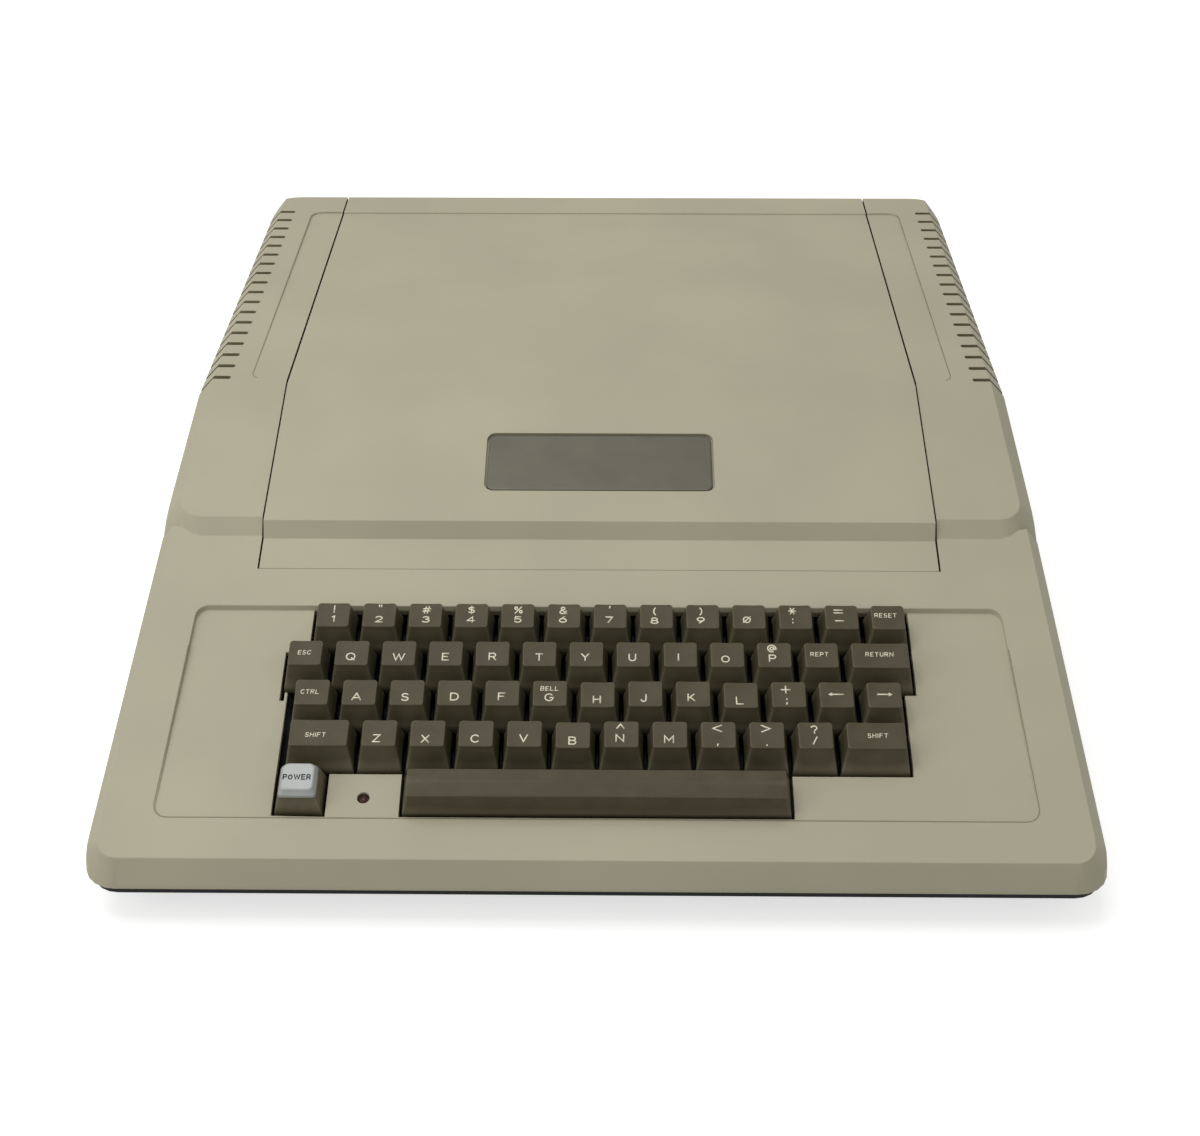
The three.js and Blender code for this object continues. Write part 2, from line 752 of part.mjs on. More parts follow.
function upperCase(skin) {
  const { tabs, holes } = lidTabs();
  const shell = joined([
    skin.subtract(lidZone(lidGap / 2)).add(panelSlab()),
    lidLedges(),
    caseBosses(),
    panelBosses(),
  ]);
  return without(without(shell, [holes]).add(tabs), [
    panelPocket(), keyOpening(), ledgeScrewHole(), ...sideVents(), ...rearOpenings(),
  ]);
}

// The recess for the badge plate, cut square to the slope.
function badgeRecess() {
  const plane = browPlaneAt(lidLead);
  const points = rounded(fourCorners({
    front: badgeInset,
    rear: badgeInset + badgeDepth,
    frontHalf: badgeWidth / 2,
    rearHalf: badgeWidth / 2,
    frontRadius: badgeCorner,
    rearRadius: badgeCorner,
  }));
  const frame = new THREE.Matrix4().makeRotationX(Math.atan(plane.slope)).setPosition(0, plane.y, plane.z);
  return prism(points, [-badgeStep, overrun]).transform(frame.elements);
}

function lidRibs() {
  const reach = lidWidth / 2 - ledgeInner - lidRibWidth;
  const rear = lidPinY - lidTabDepth;
  const front = creaseY + ledgeInner + lidRibWidth;
  const long = [-lidRibSpread / 2, lidRibSpread / 2].map((x) => (
    block(about(x, lidRibWidth), [front, rear], [0, caseHeight])));
  const cross = Array.from({ length: lidCrossRibs }, (_, i) => {
    const y = bendY + (rear - bendY) * (i + 1) / (lidCrossRibs + 1);
    return block([-reach, reach], about(y, lidRibWidth), [0, caseHeight]);
  });
  return joined([...long, ...cross])
    .intersect(underSkin(wall - seatGap, lidLead).subtract(underSkin(wall + lidRibHeight, lidLead)));
}

function lidPins() {
  const top = caseHeight - wall;
  const bottom = top - lidPinLength;
  const pin = post(lidPinX, lidPinY, [bottom, top], lidPinRadius)
    .add(post(lidPinX, lidPinY, [bottom - lidPinRadius / 2, bottom], lidPinRadius / 2, lidPinRadius))
    .add(post(lidPinX, lidPinY, [top - seatGap, top + wall / 3], lidPinRadius));
  return pin.add(pin.mirror([1, 0, 0]));
}

function lidSolid(skin) {
  return joined([skin.intersect(lidZone(-lidGap / 2)), lidRibs(), lidPins()]).subtract(badgeRecess());
}

// Base pan with its feet, rim, board posts and screw holes

function basePan() {
  const outline = (inset, z) => prism(rounded(fourCorners({
    front: frontY + inset,
    rear: rearY - inset,
    frontHalf: caseWidth / 2 - inset,
    rearHalf: caseWidth / 2 - inset,
    frontRadius: caseCorner - inset,
    rearRadius: caseCorner - inset,
  })), z);
  const rimTop = caseFloor + rimHeight;
  const tray = outline(panInset, [footHeight, footHeight + panEdge])
    .add(outline(rimInset, [footHeight, rimTop]))
    .subtract(outline(pocketInset, [panTop, rimTop + overrun]));
  const feet = [-1, 1].flatMap((side) => [frontY + footInsetY, rearY - footInsetY].map((y) => (
    post(side * (caseWidth / 2 - footInsetX), y, [0, footHeight + panFloor / 2],
      footRadius, footTopRadius, roundSteps))));
  const posts = postPlaces().map(([x, y]) => post(x, y, [footHeight, boardUnder - seatGap], postRadius));
  const holes = caseBossPlaces.map(([x, y]) => post(x, y, [0, panTop + overrun], panScrewRadius));
  const notches = caseBossPlaces.map(([x, y]) => (
    post(x, y, [panTop, rimTop + overrun], bossRadius + rimClearance)));
  return without(joined([tray, ...feet, ...posts]), [...holes, ...notches]);
}

function postPlaces() {
  const span = boardDepth - 2 * postInset;
  return Array.from({ length: postRows }, (_, i) => boardFront + postInset + span * i / (postRows - 1))
    .flatMap((y) => [[boardLeft + postInset, y], [boardRight - postInset, y]]);
}

// Main board with card slots, chips and the three jacks at its rear edge

function cardSlot(i) {
  const x = boardLeft + slotSideInset + i * slotPitch;
  const y = [boardRear - slotRearInset - slotLength, boardRear - slotRearInset];
  const end = slotWidth / 2;
  const top = boardTop + slotHeight;
  const throat = block(
    about(x, slotThroat),
    [y[0] + end, y[1] - end],
    [top - slotThroatDepth, top + overrun],
  );
  return block(about(x, slotWidth), y, [boardUnder, top]).subtract(throat);
}

function boardChips() {
  const front = boardFront + chipFrontInset;
  const rear = boardRear - slotRearInset - slotLength - chipSlotGap;
  return Array.from({ length: chipRows * chipColumns }, (_, i) => {
    const x = boardLeft + slotSideInset + (i % chipColumns) * chipColumnPitch;
    const y = front + (rear - front) * Math.floor(i / chipColumns) / (chipRows - 1);
    return block(about(x, chipLength), about(y, chipWidth), [boardUnder, boardTop + chipHeight]);
  });
}

function rearJack(i) {
  const x = jackX(i);
  const body = [boardRear - jackBodyDepth, boardRear];
  const tip = rearY - jackRecess;
  return block(about(x, jackBodyWidth), body, [boardUnder, jackZ + jackRadius])
    .add(rod(x, [body[1] - overrun, tip], jackZ, jackRadius, roundSteps))
    .subtract(rod(x, [body[0] + overrun, tip + overrun], jackZ, jackBore, bossSteps));
}

function mainBoard() {
  const plate = block([boardLeft, boardRight], [boardFront, boardRear], [boardUnder, boardTop]);
  const holes = postPlaces().map(([x, y]) => (
    post(x, y, [boardUnder - overrun, boardTop + overrun], screwHoleRadius)));
  const slots = Array.from({ length: slotCount }, (_, i) => cardSlot(i));
  const jacks = Array.from({ length: jackCount }, (_, i) => rearJack(i));
  return without(joined([plate, ...slots, ...boardChips(), ...jacks]), holes);
}

// Power supply: a sheet-metal box with vents, a face plate, the inlet and the rocker's pocket

const inletX = supplyMiddle - inletOffset;
const rockerX = supplyMiddle + rockerOffset;
const faceMiddle = (faceZ[0] + faceZ[1]) / 2;
const rockerY = faceRear - rockerPivotDepth;

function supplyBox() {
  const outline = (inset) => rounded(fourCorners({
    front: supplyZ[0] + inset,
    rear: supplyZ[1] - inset,
    frontHalf: supplyWidth / 2 - inset,
    rearHalf: supplyWidth / 2 - inset,
    frontRadius: supplyCorner - inset,
    rearRadius: supplyCorner - inset,
    middle: supplyMiddle,
  }), 2);
  const tube = (inset, y) => solidOf(new THREE.ExtrudeGeometry(
    new THREE.Shape(outline(inset)),
    { depth: y[1] - y[0], bevelEnabled: false },
  ).rotateX(Math.PI / 2).translate(0, y[1], 0));
  const outside = tube(0, [supplyFront, supplyRear]);
  const hollow = tube(supplySkin, [supplyFront + supplySkin, supplyRear - rockerPocketDepth - supplySkin]);
  const flange = block(
    [supplyX[1] - supplySkin, supplyX[1] + flangeWidth],
    [supplyFront, supplyRear - rockerPocketDepth],
    [supplyZ[0], supplyZ[0] + supplySkin],
  );
  return outside.subtract(hollow).add(flange);
}

function supplyVentCuts() {
  const step = (supplyRear - supplyFront) * supplyVentSpanShare / supplyVents;
  const width = supplyWidth * supplyVentShare;
  const height = about((supplyZ[0] + supplyZ[1]) / 2, supplyHeight * supplyVentShare);
  return Array.from({ length: supplyVents }, (_, i) => {
    const y = about(supplyFront + step * (i + 1), supplyVentWidth);
    return [
      block(about(supplyMiddle, width), y, [supplyZ[1] - 2 * supplySkin, supplyZ[1] + overrun]),
      block([supplyX[1] - 2 * supplySkin, supplyX[1] + overrun], y, height),
    ];
  }).flat();
}

function mainsInlet() {
  const shape = new THREE.Shape(rounded([
    { x: inletX - inletWidth / 2, y: faceMiddle - inletHeight / 2, r: inletCorner },
    { x: inletX + inletWidth / 2, y: faceMiddle - inletHeight / 2, r: inletCorner },
    { x: inletX + inletWidth / 2, y: faceMiddle + inletHeight / 2, r: inletTopCorner },
    { x: inletX - inletWidth / 2, y: faceMiddle + inletHeight / 2, r: inletTopCorner },
  ], 3));
  const depth = inletDepth + overrun;
  const pocket = solidOf(new THREE.ExtrudeGeometry(shape, { depth, bevelEnabled: false })
    .rotateX(Math.PI / 2).translate(0, faceRear + overrun, 0));
  const root = faceRear - inletDepth;
  const pins = [-1, 0, 1].map((place) => block(
    about(inletX + place * pinSpread, pinWidth),
    [root - supplySkin, root + pinLength],
    about(faceMiddle + (place ? -pinDrop : pinDrop / 2), pinHeight),
  ));
  return { pocket, pins };
}

function rockerPocket() {
  const half = rockerHalf + rockerEndGap;
  const width = rockerWidth + 2 * rockerSideGap;
  const pivot = new THREE.CylinderGeometry(
    pivotRadius + pivotClearance,
    pivotRadius + pivotClearance,
    width + 2 * (pivotReach + pivotClearance),
    bossSteps,
  ).rotateZ(Math.PI / 2);
  const depth = [faceRear - rockerPocketDepth, faceRear + overrun];
  return block(about(rockerX, width), depth, about(faceMiddle, 2 * half))
    .add(solidOf(pivot.translate(rockerX, rockerY, faceMiddle)));
}

function powerSupply() {
  const { pocket, pins } = mainsInlet();
  const face = block(faceX, [supplyRear - overrun, faceRear], faceZ);
  const body = supplyBox().add(face).subtract(pocket);
  return without(joined([body, ...pins]), [rockerPocket(), ...supplyVentCuts()]);
}

// The rocker in its own frame, pivot on the origin, turned so that its upper half stands out.
function powerRocker() {
  const rise = rockerHalf * Math.tan(rockerTilt);
  const waist = rockerHalf - rise;
  const body = profileBar([
    { y: -rockerBody, z: -waist / 2 },
    { y: rise, z: -rockerHalf },
    { y: rockerFace + rise, z: -rockerHalf },
    { y: rockerFace, z: 0 },
    { y: rockerFace + rise, z: rockerHalf },
    { y: rise, z: rockerHalf },
    { y: -rockerBody, z: waist / 2 },
  ], about(0, rockerWidth));
  const stub = new THREE.CylinderGeometry(
    pivotRadius,
    pivotRadius,
    rockerWidth + 2 * (rockerSideGap + pivotReach),
    bossSteps,
  ).rotateZ(Math.PI / 2);
  return body.add(solidOf(stub));
}

// Keyboard: switch plate, keycaps and the power lamp, all in the panel's frame

const middleOf = (key) => [(key.left + key.right) / 2, rowFront(key.row) + pitch / 2];

// Where a key's stems stand, from its middle: one, or three on the space bar.
const stemOffsets = (key) => (key.name === 'space' ? [-guideSpread / 2, 0, guideSpread / 2] : [0]);

function switchPlate() {
  const plate = block(plateX, plateY, [plateTop - plateThickness, plateTop]);
  const circuit = block(
    [plateX[0] + panelBossInset * 2, plateX[1] - panelBossInset * 2],
    [plateY[0] + circuitMargin, plateY[1] - circuitMargin],
    [plateTop - plateThickness - circuitThickness, plateTop - plateThickness / 2],
  );
  const places = [...keys, lamp].flatMap((key) => {
    const [x, y] = middleOf(key);
    return stemOffsets(key).map((offset) => [x + offset, y]);
  });
  const housings = places.map(([x, y]) => (
    block(about(x, switchWidth), about(y, switchWidth), [plateTop - plateThickness / 2, housingTop])));
  const bores = places.map(([x, y]) => {
    const width = stemWidth + 2 * stemClearance;
    return block(about(x, width), about(y, width), [plateTop, housingTop + overrun]);
  });
  const holes = panelBossPlaces.map(([x, y]) => (
    post(x, y, [plateTop - plateThickness - overrun, plateTop + overrun], screwHoleRadius)));
  return without(joined([plate, circuit, ...housings]), [...bores, ...holes]);
}

// The outlines of a keycap, in a frame whose origin is the middle of its cell on the panel face.
// Each taper is how far the top face is drawn in from the skirt.
function capOutlines(key, taper) {
  const half = (key.right - key.left - keyGap) / 2;
  const depth = (pitch - keyGap) / 2;
  const skirt = {
    front: -depth,
    rear: depth,
    frontHalf: half,
    rearHalf: half,
    frontRadius: keyBaseCorner,
    rearRadius: keyBaseCorner,
  };
  const top = {
    front: -depth + taper.front,
    rear: depth - taper.rear,
    frontHalf: half - taper.side - taper.narrowing,
    rearHalf: half - taper.side,
    frontRadius: keyBaseCorner,
    rearRadius: taper.corner,
  };
  return { skirt, top };
}

const ringAt = (outline, z, steps) => ring(rounded(fourCorners(outline), steps), () => z);

// A hollow cap: the skirt tapers to the top face, the inside follows it a wall's thickness in.
function keyCap(key, taper, steps) {
  const { skirt, top } = capOutlines(key, taper);
  const ceiling = keyRise - keyWall;
  const outside = loft([
    ringAt(skirt, -keySink, steps),
    ringAt(grown(top, keyTopEdge / 2), keyRise - keyTopEdge, steps),
    ringAt(grown(top, -keyTopEdge / 2), keyRise, steps),
  ]);
  const inner = (outline) => ({ ...grown(outline, -keyWall), frontRadius: 0, rearRadius: 0 });
  const inside = loft([ringAt(inner(skirt), -keySink, steps), ringAt(inner(top), ceiling, steps)]);
  const stems = stemOffsets(key).map((x) => (
    block(about(x, stemWidth), about(0, stemWidth), [-stemReach, ceiling + keyWall / 2])));
  return joined([outside.subtract(inside), ...stems]);
}

const keyTaper = {
  front: keyFrontTaper,
  rear: keyRearTaper,
  side: keySideTaper,
  narrowing: keyNarrowing,
  corner: keyTopCorner,
};

// The space bar's top is a long low crown instead of a flat face.
function spaceBar(key) {
  const taper = {
    front: spaceFrontTaper,
    rear: spaceRearTaper,
    side: spaceSideTaper,
    narrowing: 0,
    corner: keyTopCorner,
  };
  const { top } = capOutlines(key, taper);
  const quarter = (top.rear - top.front) / 4;
  const crown = profileBar([
    { y: top.front + keyTopEdge, z: keyRise - keyTopEdge },
    { y: top.rear - keyTopEdge, z: keyRise - keyTopEdge },
    { y: top.rear - quarter, z: keyRise + spaceCrown },
    { y: top.front + quarter, z: keyRise + spaceCrown },
  ], [-top.frontHalf + keyTopEdge, top.frontHalf - keyTopEdge]);
  return keyCap(key, taper, 1).add(crown);
}

// The power lamp: a dark foot like a key's skirt under a cap with soft corners.
function powerLamp() {
  const { skirt, top: neck } = capOutlines(lamp, {
    front: footFrontTaper,
    rear: footRearTaper,
    side: footSideTaper,
    narrowing: 0,
    corner: keyBaseCorner,
  });
  const lip = { ...grown(neck, capLip), frontRadius: capFrontCorner, rearRadius: capRearCorner };
  const face = {
    ...lip,
    front: lip.front + capFrontTaper,
    rear: lip.rear - capRearTaper,
    frontHalf: lip.frontHalf - capSideTaper,
    rearHalf: lip.rearHalf - capSideTaper,
  };
  const foot = loft([
    ringAt(skirt, -keySink, capSteps),
    ringAt(neck, capFoot, capSteps),
  ]);
  const cap = loft([
    ringAt(lip, capFoot, capSteps),
    ringAt(grown(face, capEdge / 2), lampRise - capEdge, capSteps),
    ringAt(grown(face, -capEdge / 2), lampRise, capSteps),
  ]);
  const stem = block(about(0, stemWidth), about(0, stemWidth), [-stemReach, capFoot]);
  return joined([foot, cap, stem]);
}

// Materials, in the colours of the photographed machine

const finish = (color, roughness, metalness = 0) => (
  new THREE.MeshStandardMaterial({ color, roughness, metalness }));
const casePlastic = finish('#aea78f', 0.62);
const keyPlastic = finish('#4b4638', 0.45);
const capPlastic = finish('#e3e6e8', 0.35);
const panBlack = finish('#1f1f20', 0.7);
const switchBlack = finish('#151515', 0.5);
const boardGreen = finish('#2f5b3a', 0.5);
const supplyMetal = finish('#b59c5c', 0.4, 0.8);

// The assembly

const computer = new THREE.Group();
computer.name = 'home_computer';
computer.add(panelFrame);

computer.add(meshOf('upper_case', upperCase(moulding(0)), casePlastic));
computer.add(meshOf('lid', lidSolid(moulding(lidLead)), casePlastic));
computer.add(meshOf('base_pan', basePan(), panBlack));
computer.add(meshOf('main_board', mainBoard(), boardGreen));
computer.add(meshOf('power_supply', powerSupply(), supplyMetal));

const rocker = meshOf('power_rocker', powerRocker(), switchBlack);
rocker.position.set(rockerX, rockerY, faceMiddle);
rocker.rotation.x = -rockerTilt;
computer.add(rocker);

panelFrame.add(meshOf('keyboard_chassis', switchPlate(), switchBlack));
const lampMesh = meshOf('power_lamp', powerLamp(), capPlastic);
lampMesh.position.set(...middleOf(lamp), 0);
panelFrame.add(lampMesh);

keys.forEach((key) => {
  const cap = key.name === 'space' ? spaceBar(key) : keyCap(key, keyTaper, 1);
  const mesh = meshOf('key_' + key.name, cap, keyPlastic);
  mesh.position.set(...middleOf(key), 0);
  panelFrame.add(mesh);
});

export default computer;
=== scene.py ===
# %% [markdown]
# # A home computer with its keyboard built in
# The machine is a wedge of beige moulded plastic with a dark keyboard let into its sloping
# front and a lid over its card slots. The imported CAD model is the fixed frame: it gives every
# size and every moving body. This lesson dresses it, one piece or finish at a time.

import json
import math

import bmesh
import bpy
import numpy as np
from mathutils import Matrix


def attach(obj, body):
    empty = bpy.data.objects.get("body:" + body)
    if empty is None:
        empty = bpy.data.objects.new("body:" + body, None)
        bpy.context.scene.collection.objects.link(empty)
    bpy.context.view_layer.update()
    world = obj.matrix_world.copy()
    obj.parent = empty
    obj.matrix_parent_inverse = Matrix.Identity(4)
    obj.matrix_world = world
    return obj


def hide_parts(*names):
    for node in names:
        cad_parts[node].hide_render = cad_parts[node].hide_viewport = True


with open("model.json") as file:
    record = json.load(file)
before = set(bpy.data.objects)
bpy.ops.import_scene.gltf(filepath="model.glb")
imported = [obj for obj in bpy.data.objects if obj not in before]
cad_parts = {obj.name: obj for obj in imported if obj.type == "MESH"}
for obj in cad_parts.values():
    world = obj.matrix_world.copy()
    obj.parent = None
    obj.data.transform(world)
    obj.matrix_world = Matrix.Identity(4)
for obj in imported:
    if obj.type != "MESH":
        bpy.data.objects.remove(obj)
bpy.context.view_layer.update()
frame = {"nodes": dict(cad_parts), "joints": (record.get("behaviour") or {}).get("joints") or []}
nodes = frame["nodes"]
MM = 0.001


def add_object(name, data):
    """A new object in the scene, unturned and unscaled at the origin until it is moved."""
    piece = bpy.data.objects.new(name, data)
    bpy.context.scene.collection.objects.link(piece)
    return piece

# %% [markdown]
# ## Camera
# A camera can be placed by eye, but a part that is modelled on a photograph wants the
# photograph's own view. These values were solved from the corners of the case and the keyboard:
# the camera stood half a metre over the desk and looked down a third of a right angle.

# %% Place the camera
PHOTO_WIDTH = 1200
FOCAL_LENGTH_IN_PIXELS = 1781.25
CAMERA_PLACE = (8.04, -724.39, 500.14)
CAMERA_DOWN, CAMERA_LEFT, CAMERA_ROLL = (math.radians(a) for a in (33.912, 0.675, -0.113))

camera_data = bpy.data.cameras.new("camera")
camera_data.sensor_width = 36
camera_data.lens = camera_data.sensor_width * FOCAL_LENGTH_IN_PIXELS / PHOTO_WIDTH
camera = add_object("camera", camera_data)
camera.matrix_world = (
    Matrix.Translation([v * MM for v in CAMERA_PLACE])
    @ Matrix.Rotation(CAMERA_LEFT, 4, "Z")
    @ Matrix.Rotation(math.pi / 2 - CAMERA_DOWN, 4, "X")
    @ Matrix.Rotation(CAMERA_ROLL, 4, "Z")
)
bpy.context.scene.camera = camera
print("lens in mm:", round(camera_data.lens, 2))

# %% [markdown]
# ## Colours and nodes
# Colours are written as the hex values that a paint program shows. Blender's shaders add light,
# so they want linear values, and one function turns the one into the other. A second function
# adds a node with its settings and its links, which keeps each material short.

# %% Colour and node helpers
def linear(hex_colour):
    """sRGB hex to linear RGBA: c/12.92 near black, ((c + 0.055)/1.055)^2.4 above."""
    values = [int(hex_colour[i : i + 2], 16) / 255 for i in (1, 3, 5)]
    return (*(c / 12.92 if c < 0.04045 else ((c + 0.055) / 1.055) ** 2.4 for c in values), 1)


def fill_inputs(tree, node, inputs):
    """Links each input that is given a socket, and sets each that is given a value."""
    for name, value in inputs.items():
        if isinstance(value, bpy.types.NodeSocket):
            tree.links.new(value, node.inputs[name])
        else:
            node.inputs[name].default_value = value


def add_node(tree, kind, inputs=None, **settings):
    """Adds one node, sets its properties, then fills the inputs that are named."""
    node = tree.nodes.new(kind)
    for name, value in settings.items():
        setattr(node, name, value)
    fill_inputs(tree, node, inputs or {})
    return node


def new_material(name):
    """An empty node material: its tree, its Principled shader and its object coordinates."""
    material = bpy.data.materials.new(name)
    material.use_nodes = True
    tree = material.node_tree
    tree.nodes.clear()
    shader = add_node(tree, "ShaderNodeBsdfPrincipled")
    add_node(tree, "ShaderNodeOutputMaterial", {"Surface": shader.outputs[0]})
    place = add_node(tree, "ShaderNodeTexCoord").outputs["Object"]
    return material, tree, shader, place


def noise(tree, place, size_mm, detail=2.0):
    """Noise whose blobs are about size_mm across: the scale is blobs per metre."""
    inputs = {"Vector": place, "Scale": 1 / (size_mm * MM), "Detail": detail, "Roughness": 0.5}
    return add_node(tree, "ShaderNodeTexNoise", inputs).outputs["Fac"]


def map_range(tree, value, **ends):
    """A value moved from one range to another, such as from_min=0.2; other ends stay 0 and 1."""
    named = {end.replace("_", " ").title(): at for end, at in ends.items()}
    return add_node(tree, "ShaderNodeMapRange", {"Value": value, **named}).outputs["Result"]


def combine(tree, operation, first, second):
    """Two values put through one Math operation."""
    node = add_node(tree, "ShaderNodeMath", {0: first, 1: second}, operation=operation)
    return node.outputs[0]


def mix_colours(tree, factor, first, second):
    """The first colour where the factor is 0 and the second where it is 1."""
    inputs = {"Fac": factor, "Color1": first, "Color2": second}
    return add_node(tree, "ShaderNodeMixRGB", inputs).outputs["Color"]


def blend_colours(tree, factor, low_hex, high_hex, start=0.35, end=0.65):
    """A colour that goes from low_hex to high_hex as factor goes from start to end."""
    ramp = add_node(tree, "ShaderNodeValToRGB", {"Fac": factor})
    ramp.color_ramp.elements[0].position, ramp.color_ramp.elements[1].position = start, end
    ramp.color_ramp.elements[0].color = linear(low_hex)
    ramp.color_ramp.elements[1].color = linear(high_hex)
    return ramp.outputs["Color"]


def add_bump(tree, shader, height, height_mm, strength=1.0):
    """Bumps a shader's normal by a value whose whole range stands for height_mm."""
    inputs = {"Height": height, "Strength": strength, "Distance": height_mm * MM}
    bump = add_node(tree, "ShaderNodeBump", inputs)
    tree.links.new(bump.outputs["Normal"], shader.inputs["Normal"])

# %% [markdown]
# ## Case plastic
# The case is moulded ABS or a structural foam like it. The mould's surface was etched, which
# leaves a fine pebble of about half a millimetre that breaks up reflections, and the beige has
# aged unevenly. An image of plastic would slide over the edges, so both come from noise in
# object coordinates: wide soft blotches for the ageing, tight ones for the pebble.

# %% Etched beige ABS
AGEING_MM, POLISH_MM, FILM_MM = 70, 9, 18  # how wide the colour's blotches are


def etched_abs(name, low_hex, high_hex, roughness, pebble_mm, pebble_height_mm, specular=0.4):
    """Moulded ABS from an etched mould: wide colour drift, and a pebbled bump."""
    material, tree, shader, place = new_material(name)
    colour = blend_colours(tree, noise(tree, place, AGEING_MM, 4), low_hex, high_hex)
    fill_inputs(tree, shader, {"Base Color": colour, "Roughness": roughness,
                               "Specular IOR Level": specular})
    add_bump(tree, shader, noise(tree, place, pebble_mm), pebble_height_mm)
    return material


case_abs = etched_abs("etched_abs_beige", "#aea991", "#b4af96", 0.58, 0.9, 0.035)
pan_abs = etched_abs("etched_abs_black", "#0d0d0e", "#141415", 0.62, 0.8, 0.05, specular=0.25)
# Painted shade: a darker, dull beige inside the vents, and darker still on the walls of the lid's
# seam, where shade falls into the narrow openings.
vent_painted_shade = etched_abs("painted_shade_in_vents", "#847a5f", "#92886c", 0.9, 0.9, 0.02)
seam_painted_shade = etched_abs("painted_shade_on_lid_seam", "#332d20", "#3f3829", 0.9, 0.9, 0.02)
# Painted shade: a darker beige for the thin lines along the steps of the keyboard panel and the
# top's field.
line_painted_shade = etched_abs("painted_shade_along_steps", "#8a836b", "#948d76", 0.85, 0.9, 0.02)
rubber = etched_abs("moulded_rubber_black", "#111111", "#191918", 0.8, 1.2, 0.05, specular=0.3)
print("case materials:", case_abs.name, pan_abs.name)

# %% [markdown]
# ## Key plastic
# Keycaps are double-shot ABS: a dark shell moulded round a pale letter. Fingers polish them, so
# they are smoother than the case. The roughness drifts a little from place to place, as polish
# does, and the bump is finer.

# %% Double-shot key ABS, legends and the lamp's cap
# Painted highlight: the pointiness where the lighter edge colour, which stands for the highlight on
# the keys' rounded edges, starts to show and where it is full. The wear named beside it is this
# painted highlight.
HIGHLIGHT_FROM, HIGHLIGHT_TO = 0.51, 0.57  # the pointiness where wear starts to show and where it is full
GRAIN_MM = 0.6


def polished_abs(name, low_hex, high_hex, rough_low, rough_high, grain_height_mm,
                 specular=0.5, edge_highlight_hex=None):
    """Moulded ABS polished by use: roughness drifts between two values, over a fine grain. Where
    pointiness is high, on the convex edges, a lighter colour is mixed in: a painted highlight."""
    material, tree, shader, place = new_material(name)
    drift = noise(tree, place, POLISH_MM, 3)
    colour = blend_colours(tree, drift, low_hex, high_hex)
    # painted highlight: a lighter colour on the convex edges, where pointiness is high
    if edge_highlight_hex:
        edge = add_node(tree, "ShaderNodeNewGeometry").outputs["Pointiness"]
        edge_highlight = map_range(tree, edge, from_min=HIGHLIGHT_FROM, from_max=HIGHLIGHT_TO)
        colour = mix_colours(tree, edge_highlight, colour, linear(edge_highlight_hex))
    rough = map_range(tree, drift, to_min=rough_low, to_max=rough_high)
    fill_inputs(tree, shader, {"Base Color": colour, "Roughness": rough,
                               "Specular IOR Level": specular})
    add_bump(tree, shader, noise(tree, place, GRAIN_MM, 1), grain_height_mm)
    return material


# the keys' lighter edge colour is a painted highlight
key_abs = polished_abs("polished_abs_olive_brown", "#4d4735", "#544e3b", 0.42, 0.52, 0.012,
                       specular=0.18, edge_highlight_hex="#7d7660")
legend_abs = polished_abs("double_shot_abs_cream", "#e2dabf", "#ece4cb", 0.45, 0.55, 0.005)
lamp_abs = polished_abs("moulded_abs_white", "#a9aca9", "#b1b4b1", 0.25, 0.33, 0.006)
lamp_ink = polished_abs("printed_ink_black", "#1c1c1e", "#262628", 0.5, 0.6, 0.004)
switch_abs = polished_abs("moulded_abs_black", "#111110", "#181817", 0.45, 0.55, 0.01, specular=0.3)
print("key materials:", key_abs.name, legend_abs.name, lamp_abs.name)

# %% [markdown]
# ## Metals and the circuit board
# The supply's box is folded steel with a yellow chromate finish, the badge plate is brushed and
# lacquered taupe, and the ledge's screw has a dull red-brown finish. Brushing is noise stretched
# along one direction by a Mapping node.

# %% Brushed and plated metal
BRUSH_MM, BRUSH_HEIGHT_MM, BRUSH_STRENGTH = 0.7, 0.02, 0.6


def plated_steel(name, low_hex, high_hex, roughness, stretch=(1, 1, 1), metallic=1.0):
    """Sheet or turned metal: colour drift and a grain that a Mapping node stretches."""
    material, tree, shader, place = new_material(name)
    colour = blend_colours(tree, noise(tree, place, FILM_MM, 4), low_hex, high_hex)
    fill_inputs(tree, shader, {"Base Color": colour, "Roughness": roughness, "Metallic": metallic})
    stretched = add_node(tree, "ShaderNodeMapping", {"Vector": place, "Scale": stretch})
    grain = noise(tree, stretched.outputs["Vector"], BRUSH_MM)
    add_bump(tree, shader, grain, BRUSH_HEIGHT_MM, BRUSH_STRENGTH)
    return material


supply_steel = plated_steel("chromated_steel_yellow", "#a58d52", "#bba468", 0.38)
badge_metal = plated_steel("brushed_lacquered_taupe", "#5e5a4c", "#656152", 0.45,
                           (0.06, 1, 1), 0.2)
screw_steel = plated_steel("blackened_steel_screw", "#3a2620", "#4a3128", 0.45, metallic=0.6)
pin_metal = plated_steel("tinned_brass_pins", "#c4c0b4", "#d6d2c6", 0.3)
gold_contacts = plated_steel("gilded_contacts", "#b08c48", "#c8a45a", 0.3)
chip_epoxy = etched_abs("moulded_epoxy_black", "#161617", "#1e1e1f", 0.6, 0.4, 0.01, specular=0.3)
ferrite = etched_abs("sintered_ferrite_grey", "#2c2b2a", "#363534", 0.75, 0.5, 0.02, specular=0.3)
nylon = polished_abs("moulded_nylon_natural", "#c9c4b2", "#d4cfbd", 0.4, 0.5, 0.01)


